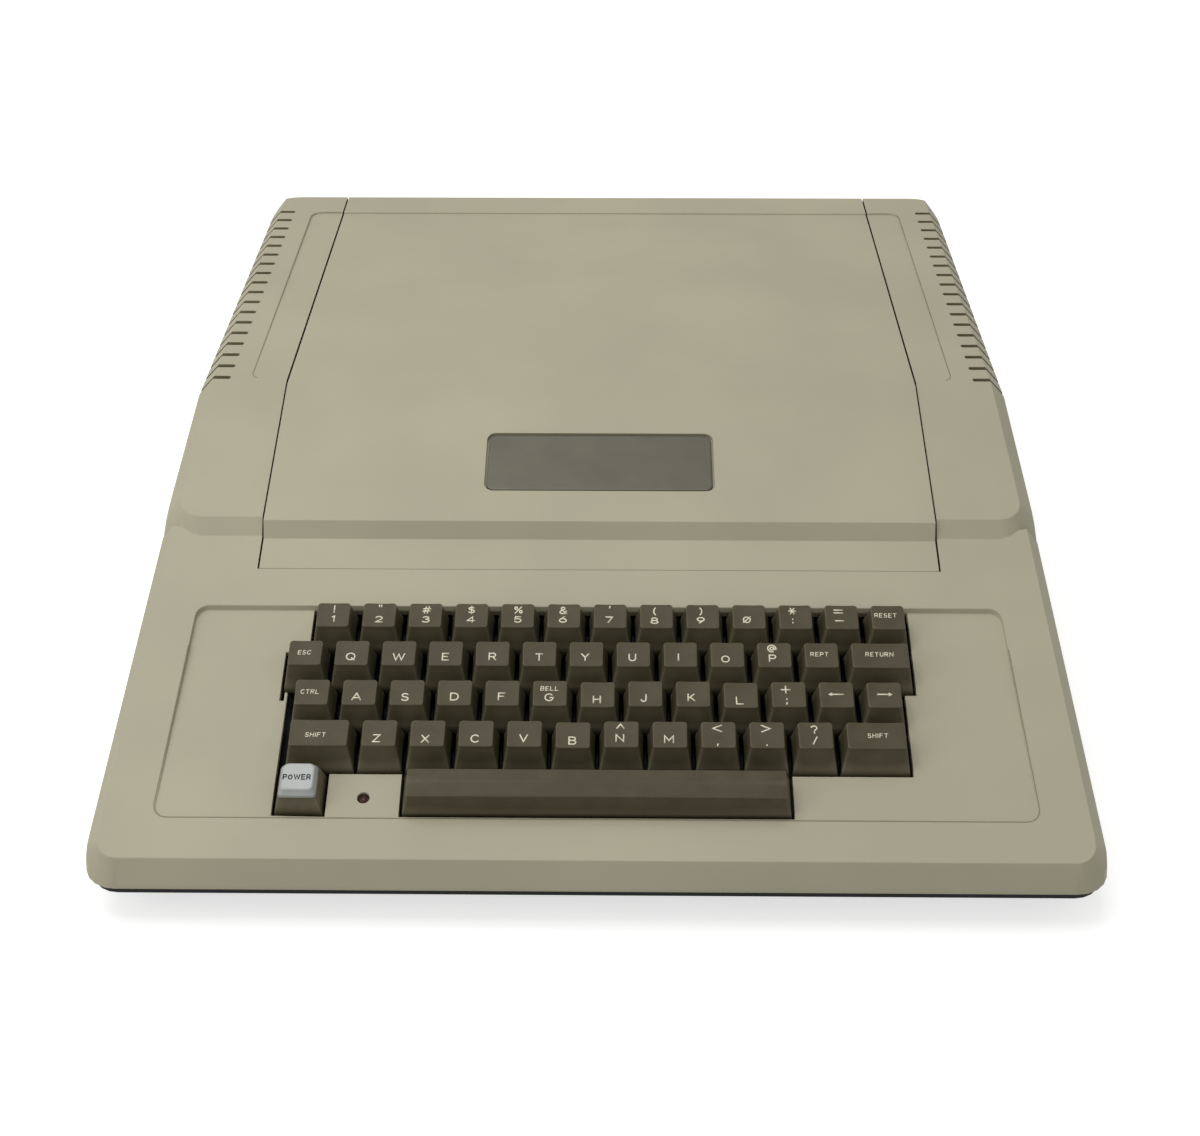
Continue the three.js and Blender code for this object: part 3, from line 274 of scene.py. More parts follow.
def solder_mask(name, low_hex, high_hex, track_hex, track_pitch_mm):
    """A green board: tracks are the crests of sine bands, kept only in patches of noise. The
    Wave node repeats every 2 pi / (20 scale)."""
    material, tree, shader, place = new_material(name)
    base = blend_colours(tree, noise(tree, place, 30, 3), low_hex, high_hex)
    scale = 2 * math.pi / (20 * track_pitch_mm * MM)
    bands = add_node(tree, "ShaderNodeTexWave", {"Vector": place, "Scale": scale}).outputs["Fac"]
    crest = map_range(tree, bands, from_min=0.6, from_max=0.75)
    patch = map_range(tree, noise(tree, place, 22, 0), from_min=0.5, from_max=0.52)
    track = combine(tree, "MULTIPLY", crest, patch)
    colour = mix_colours(tree, track, base, linear(track_hex))
    fill_inputs(tree, shader, {"Base Color": colour, "Roughness": 0.35})
    add_bump(tree, shader, track, 0.04)
    return material


board_mask = solder_mask("solder_mask_green", "#1f4a2c", "#265634", "#3c7548", 2.54)
print("metals:", supply_steel.name, badge_metal.name, screw_steel.name)

# %% [markdown]
# ## Softened moulded edges
# No moulded edge is sharp: the tool that cut the mould leaves a small round, and a highlight
# runs along it. The CAD solids have sharp edges, so each big moulding gets a copy. Its loose
# triangles are merged, flat faces become whole again, and a Bevel modifier rounds what is left.
# One radius for all would run the narrow strips over each other, so every edge carries a weight
# that says how much of the radius it has room for.

# %% Room beside an edge
MERGE_GAP = 0.002 * MM
FLAT_ENOUGH = math.radians(0.6)
IN_LINE = 0.85  # the cosine past which a neighbour edge counts as the same edge going on
PROBES = (0.15, 0.5, 0.85)  # shares of an edge's length at which the room beside it is measured


def face_room(face, sharp):
    """For each sharp edge of a face, how far it is to the face's other edges: the least distance
    from three points along it to the segments that don't touch it, and the height over it of
    those that do."""
    ends = np.array([[v.co[:] for v in edge.verts] for edge in face.edges])
    start, run = ends[:, 0], ends[:, 1] - ends[:, 0]
    length = np.maximum(np.linalg.norm(run, axis=1), 1e-9)
    rooms = {}
    for i, edge in enumerate(face.edges):
        if edge not in sharp:
            continue
        along = run[i] / length[i]
        probes = start[i] + np.outer(PROBES, run[i])
        share = ((probes[:, None] - start) * run).sum(-1) / length**2
        nearest = start + np.clip(share, 0, 1)[..., None] * run
        gaps = np.linalg.norm(probes[:, None] - nearest, axis=-1).min(0)
        for j, other in enumerate(face.edges):
            if not set(other.verts) & set(edge.verts):
                continue
            lean = abs(run[j] @ along) / length[j]
            goes_on = other in sharp and lean > IN_LINE
            gaps[j] = np.inf if j == i or goes_on else length[j] * math.sqrt(max(1 - lean**2, 0))
        rooms[edge.index] = gaps.min()
    return rooms


# %% [markdown]
# With the room known, each moulding is copied and rounded. Rounds in the CAD solids would make
# every collision piece finer for nothing, so only this dressed copy has them. Corners that turn
# far get a keener radius than blunt ones, as the cutter of a mould leaves them.

# %% Rounded copies of the mouldings
SHARPEST_FLAT = 19  # degrees: edges that turn by less stay as they are
BLUNT_BELOW = 65  # degrees: edges that turn by less get the blunt radius
ROOM_SHARE = 0.45  # how much of the room beside an edge its round may take
LEAST_WEIGHT = 0.05


def whole_faces(node, name, reshape=None):
    """A copy of a CAD node's mesh with its doubles merged and its flat faces joined. `reshape`
    may move points a little before the faces are joined."""
    mesh = nodes[node].data.copy()
    mesh.name = name
    shell = bmesh.new()
    shell.from_mesh(mesh)
    bmesh.ops.remove_doubles(shell, verts=shell.verts, dist=MERGE_GAP)
    if reshape:
        reshape(shell)
    bmesh.ops.dissolve_limit(shell, angle_limit=FLAT_ENOUGH, verts=shell.verts, edges=shell.edges)
    return mesh, shell


def softened(node, name, materials, blunt_mm, keen_mm, choose=None, reshape=None):
    """A rounded copy of a CAD node. Edges that turn a little get the blunt radius and the rest
    the keen one, each as far as there is room. `choose` gives a face's material from its middle
    and its normal."""
    mesh, shell = whole_faces(node, name, reshape)
    shell.edges.index_update()
    turn = {e: math.degrees(e.calc_face_angle(0)) for e in shell.edges}
    sharp = {e for e in shell.edges if turn[e] > SHARPEST_FLAT}
    room = np.full(len(shell.edges), np.inf)
    for face in shell.faces:
        for index, gap in face_room(face, sharp).items():
            room[index] = min(room[index], gap)
    widest = max(blunt_mm, keen_mm) * MM
    weight = np.zeros(len(shell.edges))
    for edge in sharp:
        wanted = (blunt_mm if turn[edge] < BLUNT_BELOW else keen_mm) * MM
        weight[edge.index] = min(wanted, ROOM_SHARE * room[edge.index]) / widest
        edge.smooth = bool(weight[edge.index] > LEAST_WEIGHT)
    weight[weight < LEAST_WEIGHT] = 0
    finish = [choose(face.calc_center_median() / MM, face.normal) if choose else 0
              for face in shell.faces]
    shell.to_mesh(mesh)
    shell.free()
    mesh.materials.clear()
    for material in materials:
        mesh.materials.append(material)
    mesh.polygons.foreach_set("material_index", finish)
    mesh.polygons.foreach_set("use_smooth", np.ones(len(mesh.polygons), bool))
    weights = mesh.attributes.new("bevel_weight_edge", "FLOAT", "EDGE")
    weights.data.foreach_set("value", weight)
    piece = add_object(name, mesh)
    rounding = piece.modifiers.new("rounded_edges", "BEVEL")
    rounding.width = widest
    rounding.segments = 3
    rounding.limit_method = "WEIGHT"
    rounding.use_clamp_overlap = False
    shading = piece.modifiers.new("flat_faces_stay_flat", "WEIGHTED_NORMAL")
    shading.keep_sharp = True
    print(name, len(mesh.polygons), "faces,", int((weight > 0).sum()), "rounded edges")
    return piece


def dress(piece, body, node=None):
    """Puts a piece on a CAD body, in place of a CAD node if one is named."""
    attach(piece, body)
    if node:
        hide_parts(node)
    return piece

# %% [markdown]
# The walls inside the vents and along the seams round the lid get a darker, dull colour of their
# own: painted shade, for the shade that falls into these narrow openings. The shallow field on the
# flat top is also adjusted by fractions of a millimetre: its step is nearly even along its sides.

# %% Case and lid
LID_HALF = 145
VENT_INNER, VENT_FLOOR = 171, 103.5
VENTS = {"first": 9.5, "pitch": 11.53, "half": 1.1, "wider": 1.3}
FIELD = {"front": 10.5, "rear": 204.9, "half": 162.0, "step": 1.6, "wanted": 0.8, "top": 112.5}
CREASE_Y, CREASE_CLOSE = -96.0, 0.64
STEP_FOOT = {"y": -77.59, "z": 83.5, "slope": 0.360153, "start": 172.6, "end": 184.8,
             "forward": 2.3}
SHIFT_LEFT, LAMP_LEFT = -123.82, -125.81  # left edges of the keyboard's opening
WALLS = {"floor": 17.5, "half": 198.0, "end": 228.5, "side_lean": 7.25, "end_lean": 1.0,
         "corner": 14.0}
BOSSES = {"x": 185.5, "y": (-18.28, 216.0), "reach": 4.1}  # upright screw bosses beside the walls


def nudge_top(shell):
    """Halves the field's depth, z = top - wanted (y - front) / length, and widens each vent
    about its own middle: y = middle + wider (y - middle)."""
    length = FIELD["rear"] - FIELD["front"]
    for vert in shell.verts:
        x, y, z = vert.co / MM
        share = (y - FIELD["front"]) / length
        on_floor = abs(z - FIELD["top"] + FIELD["step"] * share) < 0.02
        if on_floor and -0.01 < share < 1.01 and abs(x) < FIELD["half"] + 0.5:
            vert.co.z = (FIELD["top"] - FIELD["wanted"] * share) * MM
        middle = VENTS["first"] + VENTS["pitch"] * round((y - VENTS["first"]) / VENTS["pitch"])
        in_vents = abs(x) > VENT_INNER - 1 and z > VENT_FLOOR - 0.1 and y > 0
        if in_vents and abs(y - middle) < VENTS["half"] + 0.05:
            vert.co.y = (middle + VENTS["wider"] * (y - middle)) * MM


def wall_at(y, z):
    """How far out a drafted side wall is. In plan the walls are a rounded rectangle, whose halves
    shrink with height by tan(lean): half(z) = half - (z - floor) tan(lean). Beside the corner's
    centre c it is half(z), and past it x = c_x + sqrt(r^2 - (y - c_y)^2)."""
    side, end = (WALLS[size] - (z - WALLS["floor"]) * math.tan(math.radians(WALLS[lean]))
                 for size, lean in (("half", "side_lean"), ("end", "end_lean")))
    past = max(abs(y) - (end - WALLS["corner"]), 0)
    return side - WALLS["corner"] + math.sqrt(max(WALLS["corner"] ** 2 - past ** 2, 0))


def nudge_case(shell):
    """The top; the foot of the case's step, 2.3 mm further forward along the deck until its
    rounded corner; the opening's left edge, straight on from the shift key to the lamp; and the
    upper ends of the screw bosses, which end at the walls instead of outside them."""
    nudge_top(shell)
    foot = STEP_FOOT
    for vert in shell.verts:
        x, y, z = vert.co / MM
        beside = abs(abs(x) - BOSSES["x"]) < BOSSES["reach"]
        in_boss = beside and min(abs(y - b) for b in BOSSES["y"]) < BOSSES["reach"]
        if in_boss and abs(x) > wall_at(y, z) + 0.02:
            vert.co.x = math.copysign(wall_at(y, z), x) * MM
        on_deck = abs(z - foot["z"] - foot["slope"] * (y - foot["y"])) < 0.06
        if on_deck and abs(x) > LID_HALF and -0.1 < y - foot["y"] < 3.3:
            share = np.clip((foot["end"] - abs(x)) / (foot["end"] - foot["start"]), 0, 1)
            vert.co.y -= foot["forward"] * share * MM
            vert.co.z -= foot["forward"] * share * foot["slope"] * MM
        if abs(vert.co.x / MM - SHIFT_LEFT) < 0.05:
            vert.co.x = (LAMP_LEFT + 0.02) * MM


def closed_crease(shell):
    """The top, and the lid's front edge moved forward until the seam there is a hairline."""
    nudge_top(shell)
    for vert in shell.verts:
        if vert.co.y / MM < CREASE_Y + 1.0:
            vert.co.y -= CREASE_CLOSE * MM


def case_finish(middle, normal):
    """1, painted shade inside the vents; 2, darker painted shade on the seam's walls; 0 elsewhere.
    """
    x, y, z = abs(middle.x), abs(middle.y), middle.z
    if abs(x - LID_HALF) < 1 and abs(normal.x) > 0.9:
        return 2
    rib = x > VENT_INNER and z > VENT_FLOOR - 0.1 and abs(normal.y) > 0.9 and y < 215
    upright = VENT_FLOOR - 0.1 < z < FIELD["top"] - 0.5 and abs(normal.z) < 0.1
    end = VENT_INNER - 2 < x < VENT_INNER + 12 and upright
    floor = x > VENT_INNER and abs(z - VENT_FLOOR) < 0.1
    return int(rib or end or floor)


CASE_ROUNDS = (0.35, 0.2)  # mm, blunt and keen
for node, name, reshape, body in (("upper_case", "case_shell", nudge_case, "case"),
                                  ("lid", "lid_shell", closed_crease, "lid")):
    # the case's faces take painted shade in the vents and on the seam's walls
    finishes = [case_abs, vent_painted_shade, seam_painted_shade]
    moulding = softened(node, name, finishes, *CASE_ROUNDS, case_finish, reshape)
    dress(moulding, body, node)

# %% [markdown]
# The board, the supply, the pan and the switch plate are seen through the vents, from below or
# with the lid off. Each is one solid with several materials. Splitting it would open seams that
# the real one doesn't have, so a face's place and direction say what it is made of.

# %% Finishes of the hidden mouldings
BOARD_TOP = 23.15
JACKS = {"behind": 208, "beside": 105}
SUPPLY = {"z": 44.0, "face": 226.85, "pocket_from": 205, "pocket_to": 226.7, "prongs_from": 214}
INLET = {"x": -154.5, "half": (12.4, 8.9), "prongs": (9.5, 6.5)}
ROCKER = {"x": -117.5, "half": (7, 11.2)}
FEET = {"x": 156, "y": 194.5, "radius": 11, "top": 13.05}
CIRCUIT = {"tilt": math.radians(18.807), "top": 86.05}


def board_finish(middle, normal):
    """0 for the board, 1 for what stands on it, 2 for the jacks at the rear."""
    if middle.z < BOARD_TOP:
        return 0
    return 2 if middle.y > JACKS["behind"] and middle.x > JACKS["beside"] else 1


def supply_finish(middle, normal):
    """0 for the folded box, 1 in the pockets of its rear face, 2 for the inlet's prongs."""
    def within(opening, size):
        across, up = abs(middle.x - opening["x"]), abs(middle.z - SUPPLY["z"])
        return across < opening[size][0] and up < opening[size][1]

    if not SUPPLY["pocket_from"] < middle.y < SUPPLY["pocket_to"]:
        return 0
    if within(INLET, "prongs") and (abs(normal.y) < 0.9 or middle.y > SUPPLY["prongs_from"]):
        return 2
    return int(within(INLET, "half") or within(ROCKER, "half"))


def pan_finish(middle, normal):
    """1 for the four feet, which are rubber; 0 for the pan."""
    away = math.hypot(abs(middle.x) - FEET["x"], abs(middle.y) - FEET["y"])
    return int(middle.z < FEET["top"] and away < FEET["radius"])


def chassis_finish(middle, normal):
    """1 for the circuit under the switch plate, by height in the keyboard's tilted frame."""
    height = middle.z * math.cos(CIRCUIT["tilt"]) - middle.y * math.sin(CIRCUIT["tilt"])
    return int(height < CIRCUIT["top"])


HIDDEN = [  # node, materials, blunt and keen round in mm, finish of each face, slot
    ("main_board", [board_mask, chip_epoxy, pin_metal], 0.3, 0.2, board_finish, "circuit_board"),
    ("power_supply", [supply_steel, switch_abs, pin_metal], 0.8, 0.5, supply_finish,
     "supply_metal"),
    ("base_pan", [pan_abs, rubber], 0.6, 0.4, pan_finish, "pan_plastic"),
    ("keyboard_chassis", [switch_abs, board_mask], 0.3, 0.3, chassis_finish, "switch_plastic"),
    ("power_rocker", [switch_abs], 0.6, 0.5, None, "switch_plastic"),
]
for node, materials, blunt, keen, finish, slot in HIDDEN:
    body = "rocker" if node == "power_rocker" else "case"
    dress(softened(node, node + "_shell", materials, blunt, keen, finish), body, node)

# %% [markdown]
# ## The keyboard's own frame
# The keys stand square to a sloping panel. Their slide joints say which way that is: the axis
# points into the panel. Turning by that angle about X gives a frame with x along the rows, s up
# the slope and n out of it, in which every keycap is upright.

# %% Panel frame
press = next(joint["axis"] for joint in frame["joints"] if joint["name"] == "press_space")
TILT = math.atan2(press[1], -press[2])
COS_TILT, SIN_TILT = math.cos(TILT), math.sin(TILT)


def to_panel(points):
    """World (x, y, z) to panel (x, s, n): s = y cos t + z sin t, n = z cos t - y sin t."""
    x, y, z = np.asarray(points, float).T
    return np.stack([x, y * COS_TILT + z * SIN_TILT, z * COS_TILT - y * SIN_TILT], 1)


def from_panel(points):
    """Panel (x, s, n) back to world: y = s cos t - n sin t, z = s sin t + n cos t."""
    x, s, n = np.asarray(points, float).T
    return np.stack([x, s * COS_TILT - n * SIN_TILT, s * SIN_TILT + n * COS_TILT], 1)


def panel_box(node):
    """Lowest and highest corner of a CAD node in the panel frame, in metres."""
    mesh = nodes[node].data
    points = np.empty(len(mesh.vertices) * 3)
    mesh.vertices.foreach_get("co", points)
    turned = to_panel(points.reshape(-1, 3))
    return turned.min(0), turned.max(0)


def panel_place(node):
    """The middle (x, s) of a CAD node in the panel frame, and half its width and its depth."""
    low, high = panel_box(node)
    return ((low + high) / 2)[:2], (high[0] - low[0]) / 2, (high[1] - low[1]) / 2


print("panel tilt in degrees:", round(math.degrees(TILT), 2))

# %% [markdown]
# ## Surfaces from rings
# A keycap, a plate or a screw head is a stack of closed outlines. Each ring is worked out as one
# array, the rings are stacked into a grid, and each grid square becomes a face. A ring that
# shrinks to one point closes the surface.

# %% Rings and meshes
def rounded_ring(front, rear, half_front, half_rear, radius_front, radius_rear,
                 per_corner=5, per_side=5):
    """A four-sided outline with round corners: corner centre + radius (cos a, sin a), a over 90
    degrees, and per_side points at even shares of the straight run to the next corner."""
    corners = [(1, front, half_front, radius_front, -90), (1, rear, half_rear, radius_rear, 0),
               (-1, rear, half_rear, radius_rear, 90), (-1, front, half_front, radius_front, 180)]
    arcs = []
    for side, edge, half, radius, start in corners:
        angle = np.radians(start + np.linspace(0, 90, per_corner))
        inward = radius if edge == front else -radius
        arcs.append(np.stack([side * (half - radius) + radius * np.cos(angle),
                              edge + inward + radius * np.sin(angle)], 1))
    share = (np.arange(1, per_side + 1) / (per_side + 1))[:, None]
    runs = [arc[-1] + (after[0] - arc[-1]) * share for arc, after in zip(arcs, arcs[1:] + arcs[:1])]
    return np.concatenate([points for pair in zip(arcs, runs) for points in pair])


def at_height(ring, n):
    """A flat outline at height n."""
    return np.column_stack([ring, np.full(len(ring), n)])


def grid_faces(rows, columns):
    """The squares between neighbouring rows of a grid whose columns close on themselves."""
    row, column = np.meshgrid(np.arange(rows - 1), np.arange(columns), indexing="ij")
    here, across = row * columns + column, row * columns + (column + 1) % columns
    return np.stack([here, across, across + columns, here + columns], -1).reshape(-1, 4)


def stack_rings(rings):
    """Rings of (x, s, n) points, outside to inside, to vertices and faces; both ends close to
    a point."""
    count = len(rings[0])
    vertices = np.concatenate(rings + [rings[0].mean(0)[None], rings[-1].mean(0)[None]])
    first, last = len(vertices) - 2, len(vertices) - 1
    around = np.arange(count)
    ahead = (around + 1) % count
    top = (len(rings) - 1) * count
    faces = grid_faces(len(rings), count).tolist()
    faces += np.stack([ahead, around, np.full(count, first)], 1).tolist()
    faces += np.stack([top + around, top + ahead, np.full(count, last)], 1).tolist()
    return vertices, faces


def merged(parts):
    """Several (vertices, faces) as one."""
    starts = np.cumsum([0] + [len(points) for points, _ in parts])
    faces = [[start + v for v in face]
             for start, (_, squares) in zip(starts, parts) for face in squares]
    return np.concatenate([points for points, _ in parts]), faces


def new_piece(name, parts, body, node=None, smooth=True):
    """One object from (vertices, faces, material) parts, on a CAD body."""
    mesh = bpy.data.meshes.new(name)
    vertices, faces = merged([(points, squares) for points, squares, _ in parts])
    for *_, material in parts:
        mesh.materials.append(material)
    mesh.from_pydata(vertices.tolist(), [], faces)
    counts = [len(squares) for _, squares, _ in parts]
    mesh.polygons.foreach_set("material_index", np.repeat(np.arange(len(parts)), counts))
    shell = bmesh.new()
    shell.from_mesh(mesh)
    bmesh.ops.recalc_face_normals(shell, faces=shell.faces)
    shell.to_mesh(mesh)
    shell.free()
    if smooth:
        mesh.shade_smooth()
    return dress(add_object(name, mesh), body, node)

# %% [markdown]
# ## Legends
# The letters are moulded strokes of even width. Blender's text objects would do, but their
# letters have the shapes of a printing face. Here each letter is a few lines and arcs in a box
# one unit high, and a small rectangle is carried along each, which gives the plain engraver's look.

# %% A single-stroke alphabet
# Each stroke is points "x,s" and arcs "@centre x,centre s,radius x,radius s,start,end,count",
# with sizes in hundredths of the letter's height and angles in degrees.
STROKES = {
    "A": "0,0 54,100 108,0; 18,32 90,32",
    "B": "0,53 50,53 @50,76.5,27,23.5,-90,90 0,100 0,0 52,0 @52,26.5,31,26.5,-90,90",
    "C": "@50,50,50,50,42,318,19", "D": "0,0 0,100 42,100 @44,50,50,50,90,-90,15 0,0",
    "E": "78,100 0,100 0,0 78,0; 0,52 66,52", "F": "78,100 0,100 0,0; 0,52 64,52",
    "G": "@50,50,50,50,42,345,21 100,46 60,46", "H": "0,0 0,100; 85,0 85,100; 0,52 85,52",
    "I": "0,0 0,100", "J": "62,100 62,30 @32,30,30,30,0,-170",
    "K": "0,0 0,100; 76,100 0,33; 24,55 82,0", "L": "0,100 0,0 82,0",
    "M": "0,0 0,100 53,30 106,100 106,0", "N": "0,0 0,100 92,0 92,100",
    "O": "@46,45,46,45,90,450,25", "P": "0,0 0,100 52,100 @52,74,27,26,90,-90 0,48",
    "Q": "@53,50,53,50,90,450,25; 64,27 104,-4",
    "R": "0,0 0,100 52,100 @52,74,27,26,90,-90 0,48; 45,48 82,0",
    "S": "@40,75,36,25,25,270 @40,25,40,25,85,-155", "T": "0,100 84,100; 42,100 42,0",
    "U": "0,100 0,38 @40,38,40,38,180,360,13 80,100", "V": "0,100 46,0 92,100",
    "W": "0,100 37,0 72,95 107,0 144,100", "X": "0,0 86,100; 0,100 86,0",
    "Y": "0,100 45,48 90,100; 45,48 45,0", "Z": "2,100 84,100 0,0 86,0",
    "0": "@42,50,42,50,90,450,23; 0,0 84,100", "1": "0,82 26,100 26,0",
    "2": "@40,70,38,30,165,-35 0,0 82,0", "3": "@40,76,36,24,155,-90; @40,27,42,27,90,-155",
    "4": "62,0 62,100 0,28 86,28", "5": "76,100 12,100 6,56 @40,33,40,33,130,-155",
    "6": "60,100 @42,32,42,32,150,510,23", "7": "0,100 80,100 28,0",
    "8": "@42,76,33,24,-90,270,19; @42,26,42,26,90,450,19", "9": "24,0 @42,68,42,32,-30,330,23",
    "!": "0,100 0,32; 0,10 0,0", '"': "0,100 0,72; 26,100 26,72",
    "#": "20,0 42,100; 56,0 78,100; 0,32 90,32; 8,68 98,68",
    "$": "@36,71,32,19,25,270 @36,30,35,22,85,-155; 36,106 36,-6",
    "%": "5,0 85,100; @16,78,16,20,0,360,13; @76,22,16,20,0,360,13",
    "&": "86,0 20,66 @40,80,21,19,205,-35 12,40 @36,22,34,22,150,300 84,44", "'": "8,100 0,72",
    "(": "@55,50,50,66,125,235", ")": "@-30,50,50,66,55,-55",
    "*": "0,50 86,50; 20,8 66,92; 66,8 20,92", "=": "0,72 105,72; 0,28 105,28", "-": "0,50 100,50",
    "+": "0,50 106,50; 53,0 53,100", ":": "0,72 0,62; 0,20 0,10", ";": "6,72 6,62; 8,16 0,-8",
    ",": "8,16 0,-10", ".": "0,16 0,6", "/": "0,0 50,100",
    "?": "@34,72,33,28,165,-60 36,28; 36,10 36,0", "<": "105,95 0,50 105,5",
    ">": "0,95 105,50 0,5", "^": "0,35 42,95 84,35",
    "@": "@50,50,22,22,40,330,15; 70,72 72,40 @50,50,50,50,-10,290,21",
    "left": "0,50 170,50; 28,66 0,50 28,34", "right": "0,50 170,50; 142,66 170,50 142,34",
}


def arc(cx, cy, rx, ry, start, end, count=11):
    """Points of an ellipse's arc: centre + (rx cos a, ry sin a)."""
    angle = np.radians(np.linspace(start, end, int(count)))
    return np.stack([cx + rx * np.cos(angle), cy + ry * np.sin(angle)], 1)


def letter_strokes(letter):
    """A letter's strokes as arrays of points, in units of its height."""
    strokes = []
    for stroke in STROKES[letter].split(";"):
        runs = []
        for mark in stroke.split():
            numbers = [float(number) for number in mark.removeprefix("@").split(",")]
            sizes = [number / 100 for number in numbers[:4]]
            runs.append(arc(*sizes, *numbers[4:]) if mark[0] == "@" else [sizes])
        strokes.append(np.concatenate(runs))
    return strokes


print(len(STROKES), "stroke letters")

# %% [markdown]
# A bevelled curve would give round letters that sink into a dished cap. A rectangle carried along
# the strokes keeps its even width, and every point of it takes the height of the face below.

# %% Words as moulded strokes
LETTER_GAP = 0.4
STAIR = 0.35  # each crossing stroke stands this share higher, so that no two tops coincide


def word_strokes(word, height, centre_x, centre_s, wide=1.0, lean=0.0):
    """The strokes of a word, scaled to a height and centred, as arrays of (x, s). A lean moves
    each point by lean times its height, which slants the word."""
    letters = [word] if word in STROKES else list(word)
    left, placed = 0.0, []
    for letter in letters:
        strokes = [stroke * (wide, 1) for stroke in letter_strokes(letter)]
        across = np.concatenate(strokes)[:, 0]
        placed += [stroke + (left - across.min(), 0) for stroke in strokes]
        left += across.max() - across.min() + LETTER_GAP
    middle = np.array([(left - LETTER_GAP) / 2, 0.5])
    slant = np.array([[1, 0], [lean, 1]])
    return [(stroke - middle) @ slant * height + (centre_x, centre_s) for stroke in placed]


def carry_strokes(strokes, width, surface, proud):
    """A rectangle carried along each stroke. Side points lie at the stroke +- width/2 along the
    mitre; the top is `proud` over the surface and the bottom as far under it."""
    parts = []
    for order, path in enumerate(strokes):
        moved = np.linalg.norm(np.diff(path, axis=0), axis=1) > 0.01 * MM
        path = path[np.concatenate([[True], moved])]
        step = np.diff(path, axis=0)
        step /= np.linalg.norm(step, axis=1)[:, None]
        ahead = np.concatenate([step, step[-1:]])
        along = ahead + np.concatenate([step[:1], step])
        along /= np.maximum(np.linalg.norm(along, axis=1)[:, None], 1e-6)
        mitre = width / 2 / np.maximum((along * ahead).sum(1), 0.5)
        ends = np.zeros_like(path)
        ends[0], ends[-1] = -step[0] * width / 3, step[-1] * width / 3
        side = np.stack([-along[:, 1], along[:, 0]], 1) * mitre[:, None]
        left, right = path + ends + side, path + ends - side
        lift = proud * (1 + STAIR * (order % 4))
        rows = [np.column_stack([p, surface(p) + h]) for p, h in
                ((left, -proud), (left, lift), (right, lift), (right, -proud))]
        last = (len(path) - 1) * 4
        faces = grid_faces(len(path), 4)[:, ::-1].tolist()
        faces += [[0, 1, 2, 3], [last + 3, last + 2, last + 1, last]]
        parts.append((np.stack(rows, 1).reshape(-1, 3), faces))
    return merged(parts)

# %% [markdown]
# ## Keycaps
# A keycap is a hollow block with a long sloping front, a steep back and a top that is pressed
# in a little along its middle, so that a finger finds it. Boxes with a bevel would give flat
# tops. A stack of rings gives the taper, the round edge and the hollow in one function.

# %% One keycap
KEY_RISE = 9.6 * MM  # top over the panel's face
SKIRT_DEPTH = 2 * MM  # skirt under the panel's face
KEY_WALL = 1.3 * MM
TOP_EDGE = 0.45 * MM
DISH = 0.3 * MM
CORNER = 0.6 * MM
SPACE_CREST = 0.85 * MM
PANEL_DROP = 10 * MM  # the panel's face under the top of the CAD's space bar
LEGEND_PROUD = 0.045 * MM
KEY_TAPERS = {"front": 6.4 * MM, "rear": -0.1 * MM, "side": 2.25 * MM, "narrowing": 0.1 * MM}
SPACE_TAPERS = {"front": 3.0 * MM, "rear": 2.9 * MM, "side": 2.4 * MM, "narrowing": 0.0}
TOP_SHARES = (1, 0.9, 0.78, 0.64, 0.48, 0.32, 0.16, 0.06)  # rings of the top, rim to middle
EDGE_TURNS = (0, 20, 40, 60, 78)  # degrees round the top edge
panel_face = panel_box("key_space")[1][2] - PANEL_DROP


def keycap(node, taper, top_corner, dish=DISH, crest=0.0, sink=0.0):
    """Rings from the hollow's roof, down its wall, up the skirt and round the top edge to the top.
    The top sinks by dish (1 - (x/half)^2), and a crest lifts it by crest (1 - |s|/depth)."""
    place, half, depth = panel_place(node)
    top_n = panel_face + KEY_RISE - sink
    skirt_n = panel_face - SKIRT_DEPTH - sink
    middle = (taper["front"] - taper["rear"]) / 2
    reach = depth - (taper["front"] + taper["rear"]) / 2

    def outline(share, inset, radius):
        """The outline at a share of the way from skirt to top, moved in by an inset."""
        side = half - taper["side"] * share - inset
        return rounded_ring(-depth + taper["front"] * share + inset,
                            depth - taper["rear"] * share - inset,
                            side - taper["narrowing"] * share, side,
                            max(CORNER * (1 + share) - inset, 0.05 * MM),
                            max(radius - inset, 0.05 * MM))

    def at(ring, n, pressed=0.0):
        """A ring at height n; where it belongs to the top, the dish and the crest move it."""
        across = ring[:, 0] / (half - taper["side"])
        along = np.abs(ring[:, 1] - middle) / reach
        moved = crest * np.clip(1 - along, 0, 1) - dish * (1 - across**2)
        return at_height(ring, n + pressed * moved)

    roof = top_n - KEY_WALL - dish
    inner = outline(1, KEY_WALL, top_corner)
    rings = [at(inner * 0.5, roof), at(inner, roof),
             at(outline(0, KEY_WALL, CORNER), skirt_n), at(outline(0, 0, CORNER), skirt_n)]
    body = KEY_RISE + SKIRT_DEPTH - TOP_EDGE
    for share in (0.3, 0.6, 0.85):
        corner = CORNER + (top_corner - CORNER) * share
        rings.append(at(outline(share, 0, corner), skirt_n + body * share, share**3))
    for turn in np.radians(EDGE_TURNS):
        rings.append(at(outline(1, TOP_EDGE * (1 - math.cos(turn)), top_corner),
                        skirt_n + body + TOP_EDGE * math.sin(turn), 1))
    rim = outline(1, TOP_EDGE, top_corner)
    centre = np.array([0, middle])
    rings += [at(centre + (rim - centre) * share, top_n, 1) for share in TOP_SHARES]
    vertices, faces = stack_rings([ring + (*place, 0) for ring in rings])

    def top_surface(points):
        """Height of the top face under (x, s) points."""
        return at(points - place, top_n, 1)[:, 2]

    return vertices, faces, top_surface, place + centre


